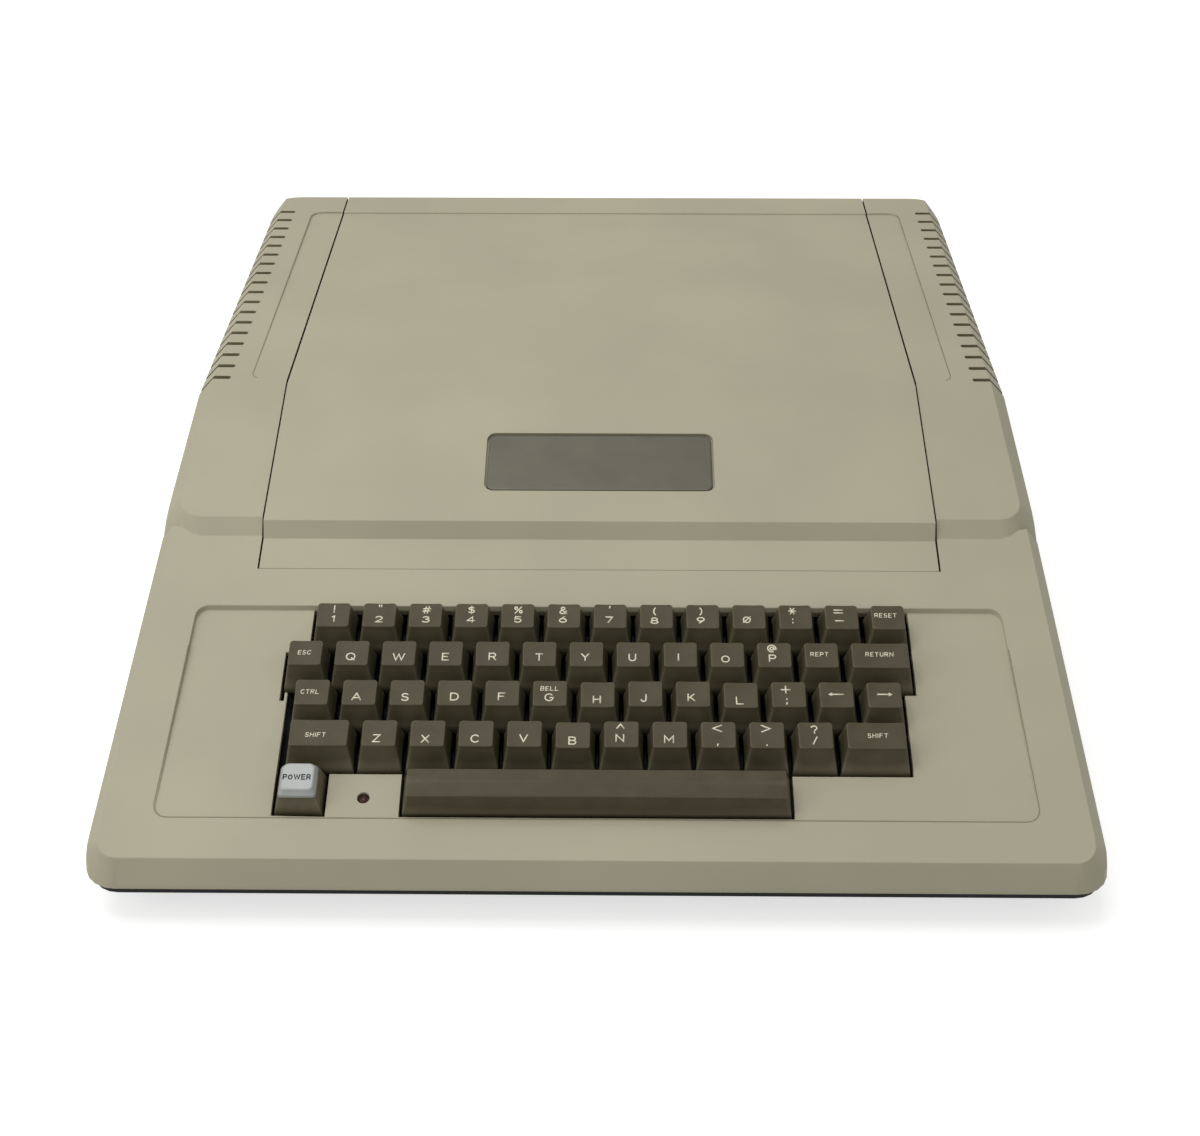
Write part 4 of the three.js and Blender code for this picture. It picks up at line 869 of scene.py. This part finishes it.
# %% [markdown]
# The signs were moulded by many different tools, and no two sit in quite the same place on
# their caps. A table of places, in millimetres from the middle of the cap's top, keeps that
# look, where one rule for all letters would look printed.

# %% Where each sign stands on its cap
LETTER_PLACES = {
    "q": (-0.4, -1.8), "w": (0.1, -1.9), "e": (0, -1.7), "r": (0, -1.5), "t": (-0.1, -1.7),
    "y": (-0.5, -1.6), "u": (-0.4, -1.6), "i": (-0.8, -1.3), "o": (-0.8, -2.0),
    "p": (-0.8, -1.7), "a": (-1.0, -2.1), "s": (-0.6, -2.2), "d": (0, -1.9), "f": (-0.2, -1.7),
    "g": (-0.3, -2.0), "h": (-0.3, -2.4), "j": (-0.7, -2.1), "k": (-0.7, -1.7),
    "l": (-0.5, -2.6), "z": (-0.9, -2.5), "x": (-0.8, -2.6),
    "c": (-0.4, -2.4), "v": (-0.3, -2.1), "b": (-0.2, -2.6), "n": (-0.6, -1.8), "m": (-0.4, -2.2),
}
SIGN_PLACES = {  # the lower sign and its place, then the upper one and its place
    "1": ("1", 0.1, -2.1, "!", 0.2, 2.9), "2": ("2", 0, -2.2, '"', 0.1, 3.4),
    "3": ("3", 0.3, -2.2, "#", 0.4, 2.6), "4": ("4", -0.2, -2.1, "$", -0.1, 2.7),
    "5": ("5", 0.1, -2.0, "%", 0.2, 2.8), "6": ("6", -0.4, -1.9, "&", -0.3, 2.7),
    "7": ("7", -0.4, -1.9, "'", -0.2, 3.3), "8": ("8", -0.8, -2.3, "(", -0.7, 2.4),
    "9": ("9", -0.8, -2.0, ")", -0.7, 2.5), "0": ("0", -0.9, -1.6),
    "colon": (":", -1.1, -1.8, "*", -1.1, 2.9), "minus": ("-", -1.0, -1.9, "=", -1.2, 2.8),
    "semicolon": (";", -0.9, -2.8, "+", -1.1, 2.2), "comma": (",", -0.4, -3.1, "<", -0.4, 2.9),
    "period": (".", -0.2, -3.4, ">", -0.3, 2.9), "slash": ("/", -0.3, -2.4, "?", -0.4, 2.6),
    "left": ("left", 0, 0.1), "right": ("right", 0.1, 0.2),
}
ABOVE_LETTER = {"p": ("@", -0.9, 3.1), "n": ("^", -0.4, 3.2), "g": ("BELL", -0.2, 2.2)}
WORD_PLACES = {"esc": ("ESC", -0.3, 0.1), "ctrl": ("CTRL", -0.8, 0.1),
               "shift_left": ("SHIFT", -1.2, -1.0), "shift_right": ("SHIFT", 0.6, -0.1),
               "return": ("RETURN", -0.3, 0.5), "rept": ("REPT", -0.8, 0.4),
               "reset": ("RESET", -0.9, 0.9)}
LETTER_HEIGHT, DIGIT_HEIGHT, SIGN_HEIGHT, WORD_HEIGHT = 3.2 * MM, 2.75 * MM, 3.3 * MM, 1.85 * MM
DIGIT_WIDTH = 1.22  # digits are this much wider than they are drawn
STROKE, WORD_STROKE = 0.56 * MM, 0.32 * MM
LOW_KEYS = {"h": 0.8 * MM, "b": 0.8 * MM, "l": 0.7 * MM}  # tired springs leave these a little low
WORD_WIDTH, WORD_LEAN = 0.8, 0.08


def sign(name, x, s, middle):
    """The strokes of one sign at its place on a cap, sized by its kind."""
    place = middle + np.array([x, s]) * MM
    if len(name) > 1 and name not in STROKES:
        return word_strokes(name, WORD_HEIGHT, *place, wide=WORD_WIDTH, lean=WORD_LEAN)
    if name in "0123456789":
        return word_strokes(name, DIGIT_HEIGHT, *place, wide=DIGIT_WIDTH)
    return word_strokes(name, LETTER_HEIGHT if name.isalpha() else SIGN_HEIGHT, *place)


def key_legend(key, middle, surface):
    """The raised strokes on one keycap: a word, a letter, or a sign over another."""
    if key in WORD_PLACES:
        places = [WORD_PLACES[key]]
    else:
        row = SIGN_PLACES.get(key) or (key.upper(), *LETTER_PLACES[key])
        row += ABOVE_LETTER.get(key, ())
        places = [row[:3], row[3:]] if row[3:] else [row]
    words = [len(name) > 1 and name not in STROKES for name, *_ in places]
    return merged([carry_strokes(sign(*place, middle), WORD_STROKE if is_word else STROKE,
                                 surface, LEGEND_PROUD) for place, is_word in zip(places, words)])


STEM = {"half": 2.4 * MM, "reach": 9.0 * MM, "chamfer": 0.5 * MM, "corner": 0.4 * MM}


def stem(node, top_n, shift=0.0, sink=0.0):
    """The square stem under a cap, 4.8 mm wide with a chamfered end, down into its switch."""
    end_n, half = panel_face - STEM["reach"] - sink, STEM["half"]
    chamfer, corner = STEM["chamfer"], STEM["corner"]
    rings = [(half - chamfer, end_n), (half, end_n + chamfer), (half, top_n)]
    at = panel_place(node)[0] + (shift, 0)
    vertices, faces = stack_rings([
        at_height(rounded_ring(-h, h, h, h, corner, corner, 3, 1) + at, n) for h, n in rings])
    return from_panel(vertices), faces, key_abs


for node in sorted(name for name in nodes if name.startswith("key_") and name != "key_space"):
    key = node.removeprefix("key_")
    sink = LOW_KEYS.get(key, 0)
    vertices, faces, surface, middle = keycap(node, KEY_TAPERS, 1.6 * MM, sink=sink)
    signs, sign_faces = key_legend(key, middle, surface)
    parts = [(from_panel(vertices), faces, key_abs), (from_panel(signs), sign_faces, legend_abs),
             stem(node, panel_face + KEY_RISE - sink - 1.0 * MM, sink=sink)]
    new_piece("keycap_" + key, parts, "cap_" + key, node)

# %% [markdown]
# ## Space bar and lamp
# The space bar has a low crest along its length in place of the dish. The lamp at the lower left
# looks like a key: a dark foot under a glossy white cap that stands out over it and has big
# soft corners.

# %% Space bar
vertices, faces, _, _ = keycap("key_space", SPACE_TAPERS, 1.0 * MM, dish=0.0, crest=SPACE_CREST)
guides = [stem("key_space", panel_face + KEY_RISE - 0.8 * MM, x * MM) for x in (-50, 0, 50)]
new_piece("keycap_space", [(from_panel(vertices), faces, key_abs), *guides],
          "cap_space", "key_space")

# %% [markdown]
# The lamp's cap is wider than its foot, so each is a stack of its own. The word on it is printed
# and not moulded, in finer strokes of the same alphabet.

# %% Power lamp
LAMP = {"foot": 6.3 * MM, "rise": 9.1 * MM, "lip": 0.35 * MM, "round": 0.9 * MM}
FOOT_TAPERS = {"front": 4.0 * MM, "rear": 0.3 * MM, "side": 2.5 * MM}
CAP_TAPERS = {"front": 1.8 * MM, "rear": 0.4 * MM, "side": 1.0 * MM}
POWER = {"height": 2.0 * MM, "x": -0.3 * MM, "s": 2.3 * MM, "wide": 0.76, "stroke": 0.46 * MM}


def lamp_parts():
    """A foot whose outline narrows upwards, and a cap whose edge turns over on a quarter circle."""
    place, half, depth = panel_place("power_lamp")
    foot_n, top_n = panel_face + LAMP["foot"], panel_face + LAMP["rise"]

    def level(foot_share, cap_share, n, grow, front_radius, rear_radius):
        front, rear, side = (FOOT_TAPERS[way] * foot_share + CAP_TAPERS[way] * cap_share - grow
                             for way in ("front", "rear", "side"))
        ring = rounded_ring(front - depth, depth - rear, half - side, half - side,
                            front_radius, rear_radius, 7)
        return at_height(ring + place, n)

    skirt_n = panel_face - SKIRT_DEPTH
    foot = [level(share, 0, skirt_n + (foot_n - skirt_n) * share, 0, CORNER, CORNER)
            for share in (0, 0.5, 1)]
    foot.append(level(1, 0, foot_n + 0.3 * MM, -0.5 * MM, CORNER, CORNER))
    wall = LAMP["rise"] - LAMP["foot"] - LAMP["round"]
    cap = [level(1, 0, foot_n, 0, 1.2 * MM, 1.2 * MM)]
    cap += [level(1, share, foot_n + wall * share, LAMP["lip"],
                  (1.3 + 0.5 * share) * MM, (2.0 + 0.5 * share) * MM) for share in (0, 0.5, 1)]
    cap += [level(1, 1, top_n - LAMP["round"] * (1 - math.sin(a)),
                  LAMP["lip"] - LAMP["round"] * (1 - math.cos(a)), 1.8 * MM, 2.5 * MM)
            for a in np.radians([15, 30, 50, 70, 90])]
    rim = cap[-1]
    centre = rim.mean(0)
    cap += [centre + (rim - centre) * (share, share, 1) for share in (0.7, 0.4, 0.1)]
    strokes = word_strokes("POWER", POWER["height"], *(place + (POWER["x"], POWER["s"])),
                           wide=POWER["wide"])
    ink = carry_strokes(strokes, POWER["stroke"], lambda p: np.full(len(p), top_n), LEGEND_PROUD)
    return stack_rings(foot), stack_rings(cap), ink


lamp_finishes = (key_abs, lamp_abs, lamp_ink)
lamp = [(from_panel(points), faces, finish)
        for (points, faces), finish in zip(lamp_parts(), lamp_finishes)]
new_piece("power_lamp_cap", [*lamp, stem("power_lamp", panel_face + LAMP["foot"])],
          "case", "power_lamp")
print("space bar and lamp made")

# %% [markdown]
# A thin line of painted shade outlines the keyboard panel and the shallow field on the top, where
# a step stands up and casts its shade. The same carrying function draws it: a ribbon half a
# millimetre wide that lies on the moulding, a few hundredths proud of it.

# %% Painted shade lines
DECK = {"y": -225.112, "z": 30.5, "slope": 0.360153}
LINE_WIDTH, LINE_PROUD = 0.5 * MM, 0.03 * MM
PANEL_LINE = {"front": -208.6, "rear": -114.3, "half_front": 171.6, "half_rear": 168.4}
panel_edge = rounded_ring(*PANEL_LINE.values(), 5.4, 5.4) * MM
panel_path = np.concatenate([panel_edge[25:], panel_edge[:10]])  # all but most of the front side
corner = np.radians(np.linspace(180, 90, 7))
left_path = np.concatenate([
    [(-159.6, 9.0), (-161.4, 10.4), (-162.2, 13.0), (-162.2, 100.0)],
    np.stack([-156.2 + 6 * np.cos(corner), 199.2 + 6 * np.sin(corner)], 1),
    [(-146.6, 205.2)],
]) * MM


def deck_height(points):
    """Height of the sloping deck under (x, y) points."""
    return DECK["z"] * MM + DECK["slope"] * (points[:, 1] - DECK["y"] * MM)


# Thin ribbons of painted shade along the panel's edge and the field's step.
on_deck = carry_strokes([panel_path], LINE_WIDTH, deck_height, LINE_PROUD)
on_top = carry_strokes([left_path, left_path * (-1, 1)], LINE_WIDTH,
                       lambda p: np.full(len(p), FIELD["top"] * MM), LINE_PROUD)
ribbons = [(*ribbon, line_painted_shade) for ribbon in (on_deck, on_top)]
painted_shade = new_piece("painted_shade_lines", ribbons, "case")
print("dust lines:", len(painted_shade.data.polygons), "faces")

# %% [markdown]
# ## Badge plate and ledge screw
# The lid's slope has a shallow recess for a badge. The plate here is bare: brushed, lacquered
# metal with a small round along its edge. The screw on the ledge beside the lamp holds the
# keyboard. Its cross recess is a dip in the dome's height along two crossing bands.

# %% Badge plate
SLOPE = math.atan2(112.5 - 89.25, 80.9)
PLATE = {"half": 49.6 * MM, "front": 18.5 * MM, "rear": 51.9 * MM, "top": -0.35 * MM,
         "bottom": -1.7 * MM, "edge": 0.5 * MM, "corner": 3.4 * MM}


def plate_rings():
    """A flat plate's rings: up the side, round its edge on a quarter circle, in over the face."""
    def level(inset, n):
        half, corner = PLATE["half"] - inset, PLATE["corner"] - inset
        return at_height(rounded_ring(PLATE["front"] + inset, PLATE["rear"] - inset, half, half,
                                      corner, corner, 9), n)

    edge, top = PLATE["edge"], PLATE["top"]
    return [level(0, PLATE["bottom"]),
            *(level(edge * (1 - math.cos(a)), top - edge * (1 - math.sin(a)))
              for a in np.radians([0, 30, 60, 90])),
            level(1.2 * MM, top), level(3 * MM, top)]


points, faces = stack_rings(plate_rings())
brow = np.array([0, -77.3, 89.25]) * MM
turn = np.array(Matrix.Rotation(SLOPE, 3, "X"))
plate = [(points @ turn.T + brow, faces, badge_metal)]
new_piece("badge_plate", plate, "lid")

# %% [markdown]
# A screw's head could be a cylinder with a cross cut out of it by a Boolean, which leaves thin
# slivers. A grid of heights stays even: a dome, less the depth of the slot within two bands.

# %% Ledge screw
SLOT = {"half": 0.16, "reach": 0.62, "depth": 0.55}  # shares of the head's radius and height


def cross_head(centre, radius, height):
    """A dome h = height (1 - (r/R)^2) with a cross cut: less where |x| or |y| is under the
    slot's half width."""
    r = np.linspace(1, 0.02, 12) * radius
    angle = np.linspace(0, 2 * np.pi, 64, endpoint=False)
    x, y = np.outer(r, np.cos(angle)), np.outer(r, np.sin(angle))
    away = np.hypot(x, y)
    arm = np.minimum(np.abs(x), np.abs(y)) < SLOT["half"] * radius
    slot = arm & (away < SLOT["reach"] * radius)
    z = height * (1 - (away / radius) ** 2) - slot * SLOT["depth"] * height
    grid = np.stack([x, y, z], -1) + centre
    return stack_rings([grid[0] - (0, 0, height), *grid])


SCREW_SUNK = 1.5 * MM
ledge_x = (panel_box("power_lamp")[1][0] + panel_box("key_space")[0][0]) / 2
ledge_s = panel_box("key_space")[0][1] + 7.5 * MM
screw_place = (ledge_x, ledge_s, panel_face - SCREW_SUNK)
points, faces = cross_head(screw_place, 2.4 * MM, 1.1 * MM)
new_piece("ledge_screw", [(from_panel(points), faces, screw_steel)], "case")
print("badge plate and screw made")

# %% [markdown]
# ## Inside and underneath
# Lifting the lid shows the board, so it carries what every such board has: chip legs, gilded
# contacts in its card slots, and a power lead on a nylon plug. A leg is a thin strip bent along a
# profile. All the strips of one kind come from one array: places times profile points times four
# corners.

# %% Strips, frames, wires and turned parts
def bent_strips(places, outward, profile, half_width):
    """Strips at (x, y) places in mm that run along `outward`. The profile is k pairs of (d, z)
    points, outer then inner; each becomes a section place + d outward +- half_width across."""
    places, outward, profile = (np.asarray(a, float) for a in (places, outward, profile))
    across = np.stack([-outward[:, 1], outward[:, 0]], 1)
    order = profile[:, [0, 0, 1, 1]]
    side = np.array([-1, 1, 1, -1])[None, None, :, None] * half_width
    flat = (places[:, None, None] + order[None, ..., :1] * outward[:, None, None]
            + side * across[:, None, None])
    height = np.broadcast_to(order[None, ..., 1:], (*flat.shape[:3], 1))
    vertices = np.concatenate([flat, height], -1)
    count = 4 * len(profile)
    ends = [[0, 1, 2, 3], [count - 1, count - 2, count - 3, count - 4]]
    one = np.concatenate([grid_faces(len(profile), 4), ends])
    faces = one[None] + np.arange(len(places))[:, None, None] * count
    return vertices.reshape(-1, 3) * MM, faces.reshape(-1, 4).tolist()


def turned(profile, centre, turn=None):
    """A lathe part: each (r, z) of the profile, in mm, becomes a circle r (cos a, sin a)."""
    angle = np.linspace(0, 2 * np.pi, 48, endpoint=False)
    circle = np.stack([np.cos(angle), np.sin(angle)], 1)
    vertices, faces = stack_rings([at_height(r * circle, z) for r, z in profile])
    if turn is not None:
        vertices = vertices @ np.asarray(turn, float).T
    return (vertices + centre) * MM, faces


def framed_opening(half, hole, corner, hole_corner, height, centre):
    """A flat frame round a hole on the rear face, with a rounded outer edge. Its rings lie in
    (-x, z) and stack up along y; the last joins the first. Corners are (lower, upper) radii."""
    def level(size, radii, inset, n):
        x, z = size[0] - inset, size[1] - inset
        across, up = rounded_ring(-z, z, x, x, *radii).T
        return np.stack([-across, np.full(len(up), n), up], 1)

    outer = [level(half, corner, inset, n) for inset, n in
             ((0, 0), (0, height - 0.4), (0.15, height - 0.1), (0.5, height))]
    inner = [level(hole, hole_corner, inset, n) for inset, n in
             ((-0.3, height), (0, height - 0.3), (0, 0))]
    rings = outer + inner
    count = len(rings[0])
    faces = grid_faces(len(rings) + 1, count) % (len(rings) * count)
    return (np.concatenate(rings) + centre) * MM, faces.tolist()


def wire(start, leave, arrive, end, radius_mm, count=20):
    """A round wire along the cubic Bezier with these four points, in mm."""
    t = np.linspace(0, 1, count)[:, None]
    weights = ((1 - t)**3, 3 * t * (1 - t)**2, 3 * t**2 * (1 - t), t**3)
    points = np.array([start, leave, arrive, end], float)
    path = sum(weight * point for weight, point in zip(weights, points))
    along = np.gradient(path, axis=0)
    along /= np.linalg.norm(along, axis=1)[:, None]
    first = np.cross(along, (0.3, 1.0, 0.2))
    first /= np.linalg.norm(first, axis=1)[:, None]
    second = np.cross(along, first)
    angle = np.linspace(0, 2 * np.pi, 8, endpoint=False)[None, :, None]
    around = np.cos(angle) * first[:, None] + np.sin(angle) * second[:, None]
    vertices, faces = stack_rings(list(path[:, None] + radius_mm * around))
    return vertices * MM, faces

# %% [markdown]
# Sixty-four chips with sixteen legs each make over a thousand strips. As copies of one object
# they would fill the scene's list, so all legs are one mesh and all contacts another.

# %% Chip legs and slot contacts
CHIPS = {"x": -14.3, "pitch": 24.5, "front": -121.1, "rear": 71.5, "half": 3.4}
LEG_PITCH = 2.54 * 0.98
LEG = [[(0, 25.7), (0, 25.45)], [(1.1, 25.7), (1.0, 25.45)],
       [(1.3, 25.5), (1.05, 25.4)], [(1.3, 23.0), (1.05, 23.0)]]
CONTACT = [[(0.75, 37.2), (1.0, 37.3)], [(0.6, 36.2), (1.0, 36.2)],
           [(0.6, 32), (1.0, 32)], [(0.9, 30), (1.0, 30)]]
chip_x = CHIPS["x"] + CHIPS["pitch"] * np.arange(8)
chip_y = np.linspace(CHIPS["front"], CHIPS["rear"], 8)
leg_x = (np.arange(8) - 3.5) * LEG_PITCH
middle_x, middle_y, offset, side = np.meshgrid(chip_x, chip_y, leg_x, (-1, 1), indexing="ij")
leg_places = np.stack([(middle_x + offset).ravel(), (middle_y + side * CHIPS["half"]).ravel()], 1)
leg_outward = np.stack([np.zeros(side.size), side.ravel()], 1)
legs = bent_strips(leg_places, leg_outward, LEG, 0.45)
new_piece("chip_legs", [(*legs, pin_metal)], "case", smooth=False)

slot_x = -14.3 + 20.32 * np.arange(8)
contact_y = 137 + 2.54 * np.arange(25)
contact_x, contact_y, side = np.meshgrid(slot_x, contact_y, (-1, 1), indexing="ij")
contact_places = np.stack([contact_x.ravel(), contact_y.ravel()], 1)
contact_outward = np.stack([side.ravel(), np.zeros(side.size)], 1)
contacts = bent_strips(contact_places, contact_outward, CONTACT, 0.5)
new_piece("slot_contacts", [(*contacts, gold_contacts)], "case", smooth=False)
print("legs:", len(leg_places), "contacts:", len(contact_places))

# %% [markdown]
# Five coloured wires feed the board from the supply, and two lead to the loudspeaker. A stiff
# wire bends evenly between the places that hold it. A cubic Bezier does the same with four
# points, where a simulated cable would move a little in every run. The round parts are turned.

# %% Power lead, loudspeaker and its wires
PLUG = {"x": -31.4, "y": 103, "z": 23.1, "half": 13, "side": 4}
PLUG_RINGS = [(0.4, 0), (0, 0.4), (0, 9.6), (0.4, 10), (1.6, 10)]  # (inset, height)
GROMMET = [(8, 0), (8, 1.6), (7.4, 2.2), (5.5, 2.2), (5.2, 4.5), (4.6, 5)]
BASKET = [(25, 15.2), (28, 15.2), (28.3, 15.6), (28.3, 17.3),
          (27.8, 17.8), (25.5, 18.2), (17.5, 27), (15.6, 28.2)]
MAGNET = [(15.9, 27.8), (16.2, 28.1), (16.2, 36), (15.6, 36.6), (6, 36.6), (5.6, 37.4), (4.8, 37.6)]
TO_SIDE = [[0, 0, 1], [1, 0, 0], [0, 1, 0]]
WIRES = [("pvc_wire_black", "#141414", "#1b1b1b"), ("pvc_wire_red", "#8c1f1a", "#9a2720"),
         ("pvc_wire_yellow", "#b8982a", "#c4a534"), ("pvc_wire_blue", "#1f3d7c", "#26488c"),
         ("pvc_wire_green", "#22602f", "#2a6d38")]

plug = stack_rings([at_height(rounded_ring(-PLUG["half"] + inset, PLUG["half"] - inset,
                                           PLUG["side"] - inset, PLUG["side"] - inset,
                                           0.8, 0.8, 3, 1), z) for inset, z in PLUG_RINGS])
x, y = PLUG["x"], PLUG["y"]
lead = [((plug[0] + (x, y, PLUG["z"])) * MM, plug[1], nylon),
        (*turned(GROMMET, (-96.2, y, 46), TO_SIDE), switch_abs)]
wire_finishes = [polished_abs(*colours, 0.4, 0.5, 0.004) for colours in WIRES]
for order, finish in enumerate(wire_finishes):
    spread = order - 2
    lead.append((*wire((-92, y + 1.9 * spread, 46), (-76, y + 2.5 * spread, 47),
                       (x, y + 4.4 * spread, 74 + 2 * order), (x, y + 4.4 * spread, 32), 0.9),
                 finish))
new_piece("power_lead", lead, "case")
speaker = [(*turned(BASKET, (-130, -75, 0)), supply_steel),
           (*turned(MAGNET, (-130, -75, 0)), ferrite)]
for spread, finish in zip((-1, 1), wire_finishes):
    speaker.append((*wire((-103.5, -78 + 2 * spread, 19), (-90, -80 + 4 * spread, 30),
                          (-48, -118 + 3 * spread, 34), (-33.5, -120 + 1.8 * spread, 23.4), 0.7),
                    finish))
new_piece("loudspeaker", speaker, "case")
print("power lead and loudspeaker made")

# %% [markdown]
# The rear face of the supply has a black flange round its inlet and a frame round its rocker. The
# case is held by six screws, whose heads stand in the pan's holes. They use the dome with a
# cross that the ledge's screw has, turned to face down or to the rear.

# %% Flange, frame and screws
TO_REAR = np.array([[-1, 0, 0], [0, 0, 1], [0, 1, 0]])
UPRIGHT, DOWN = np.eye(3), np.diag([1, -1, -1])
fastener_steel = plated_steel("zinc_plated_screws", "#8f8f8c", "#a3a39f", 0.35)


def placed_screw(place_mm, radius_mm, height_mm, turn):
    """A cross-head dome at a place, turned by a 3 x 3 matrix."""
    points, faces = cross_head((0, 0, 0), radius_mm * MM, height_mm * MM)
    return points @ turn.T + np.array(place_mm) * MM, faces, fastener_steel


face, up = SUPPLY["face"], SUPPLY["z"]
flange = framed_opening((17, 11.2), (11.6, 8.1), (2.2, 2.2), (2.4, 5.4), 1.2,
                        (INLET["x"], face, up))
bezel = framed_opening((8.7, 13.2), (6.65, 10.85), (1.5, 1.5), (0.6, 0.6), 1.0,
                       (ROCKER["x"], face, up))
flange_screws = [placed_screw((INLET["x"] + x, face + 1.15, up), 1.7, 0.6, TO_REAR)
                 for x in (-14.4, 14.4)]
pan_screws = [placed_screw((x, y, 13.15), 4.3, 2.0, DOWN)
              for x in (-185.5, 185.5) for y in (-216, -18.3, 216)]
box_screws = [placed_screw((x, y, 72.45), 2.6, 1.2, UPRIGHT)
              for x in (-172.5, -102.5) for y in (-27, 202)]
new_piece("inlet_flange", [(*flange, switch_abs), (*bezel, switch_abs), *flange_screws],
          "case")
new_piece("pan_screws", pan_screws, "case")
new_piece("supply_screws", box_screws, "case")
print("flange, frame and", len(pan_screws) + len(box_screws) + len(flange_screws), "screws")

# %% [markdown]
# ## Floor and light
# A product on a pale table under soft studio light: one wide lamp overhead and a little to the
# front, and a white world that fills in. The floor shows white to the camera but keeps the
# shadow, because only its own colour is lifted, with Light Path's Is Camera Ray.

# %% Floor
FLOOR_REACH = 4.0  # metres
FLOOR_GLOW = 0.66


def pale_floor():
    """A large flat square; its material glows a little for the camera and mirrors, and is clear
    from below."""
    mesh = bpy.data.meshes.new("floor")
    corners = [(x * FLOOR_REACH, y * FLOOR_REACH, 0)
               for x, y in ((-1, -1), (1, -1), (1, 1), (-1, 1))]
    mesh.from_pydata(corners, [], [(0, 1, 2, 3)])
    material, tree, shader, _ = new_material("painted_table_white")
    path = add_node(tree, "ShaderNodeLightPath").outputs
    seen = combine(tree, "MAXIMUM", path["Is Camera Ray"], path["Is Glossy Ray"])
    glow = combine(tree, "MULTIPLY", seen, FLOOR_GLOW)
    fill_inputs(tree, shader, {"Base Color": linear("#cfcfcd"), "Roughness": 0.8,
                               "Emission Color": (1, 1, 1, 1), "Emission Strength": glow})
    below = add_node(tree, "ShaderNodeNewGeometry").outputs["Backfacing"]
    clear = add_node(tree, "ShaderNodeBsdfTransparent").outputs[0]
    mixed = add_node(tree, "ShaderNodeMixShader", {0: below, 1: shader.outputs[0], 2: clear})
    output = next(node for node in tree.nodes if node.type == "OUTPUT_MATERIAL")
    fill_inputs(tree, output, {"Surface": mixed.outputs[0]})
    mesh.materials.append(material)
    return add_object("floor", mesh)


pale_floor()

# %% [markdown]
# A photographer's softbox is a bright square, and an area lamp is the same thing: the larger it
# is, the softer its shadows. The second, smaller one stands where the photo's side light is.

# %% World and lamps
WHITE, WORLD_FILL = (1, 1, 1, 1), 0.42

world = bpy.data.worlds.new("studio")
world.use_nodes = True
bpy.context.scene.world = world
tree = world.node_tree
tree.nodes.clear()
path = add_node(tree, "ShaderNodeLightPath").outputs
fill, backdrop = (add_node(tree, "ShaderNodeBackground", {"Color": WHITE, "Strength": strength})
                  for strength in (WORLD_FILL, 1.0))
seen = combine(tree, "MAXIMUM", path["Is Camera Ray"], path["Is Transmission Ray"])
mixed = add_node(tree, "ShaderNodeMixShader", {0: seen, 1: fill.outputs[0], 2: backdrop.outputs[0]})
add_node(tree, "ShaderNodeOutputWorld", {"Surface": mixed.outputs[0]})


def soft_lamp(name, place, size, power):
    """A square area lamp that faces the middle of the machine."""
    data = bpy.data.lights.new(name, "AREA")
    data.size = size
    data.energy = power
    at = Matrix.Translation(place)
    facing = (-at.to_translation()).to_track_quat("-Z", "Y").to_matrix().to_4x4()
    add_object(name, data).matrix_world = at @ facing


soft_lamp("overhead", (-0.38, 0.05, 1.6), 1.2, 13.2)
soft_lamp("window", (-0.95, -0.6, 0.65), 0.6, 2.1)
bpy.context.scene.view_settings.view_transform = "Standard"
print("lamps and world made")
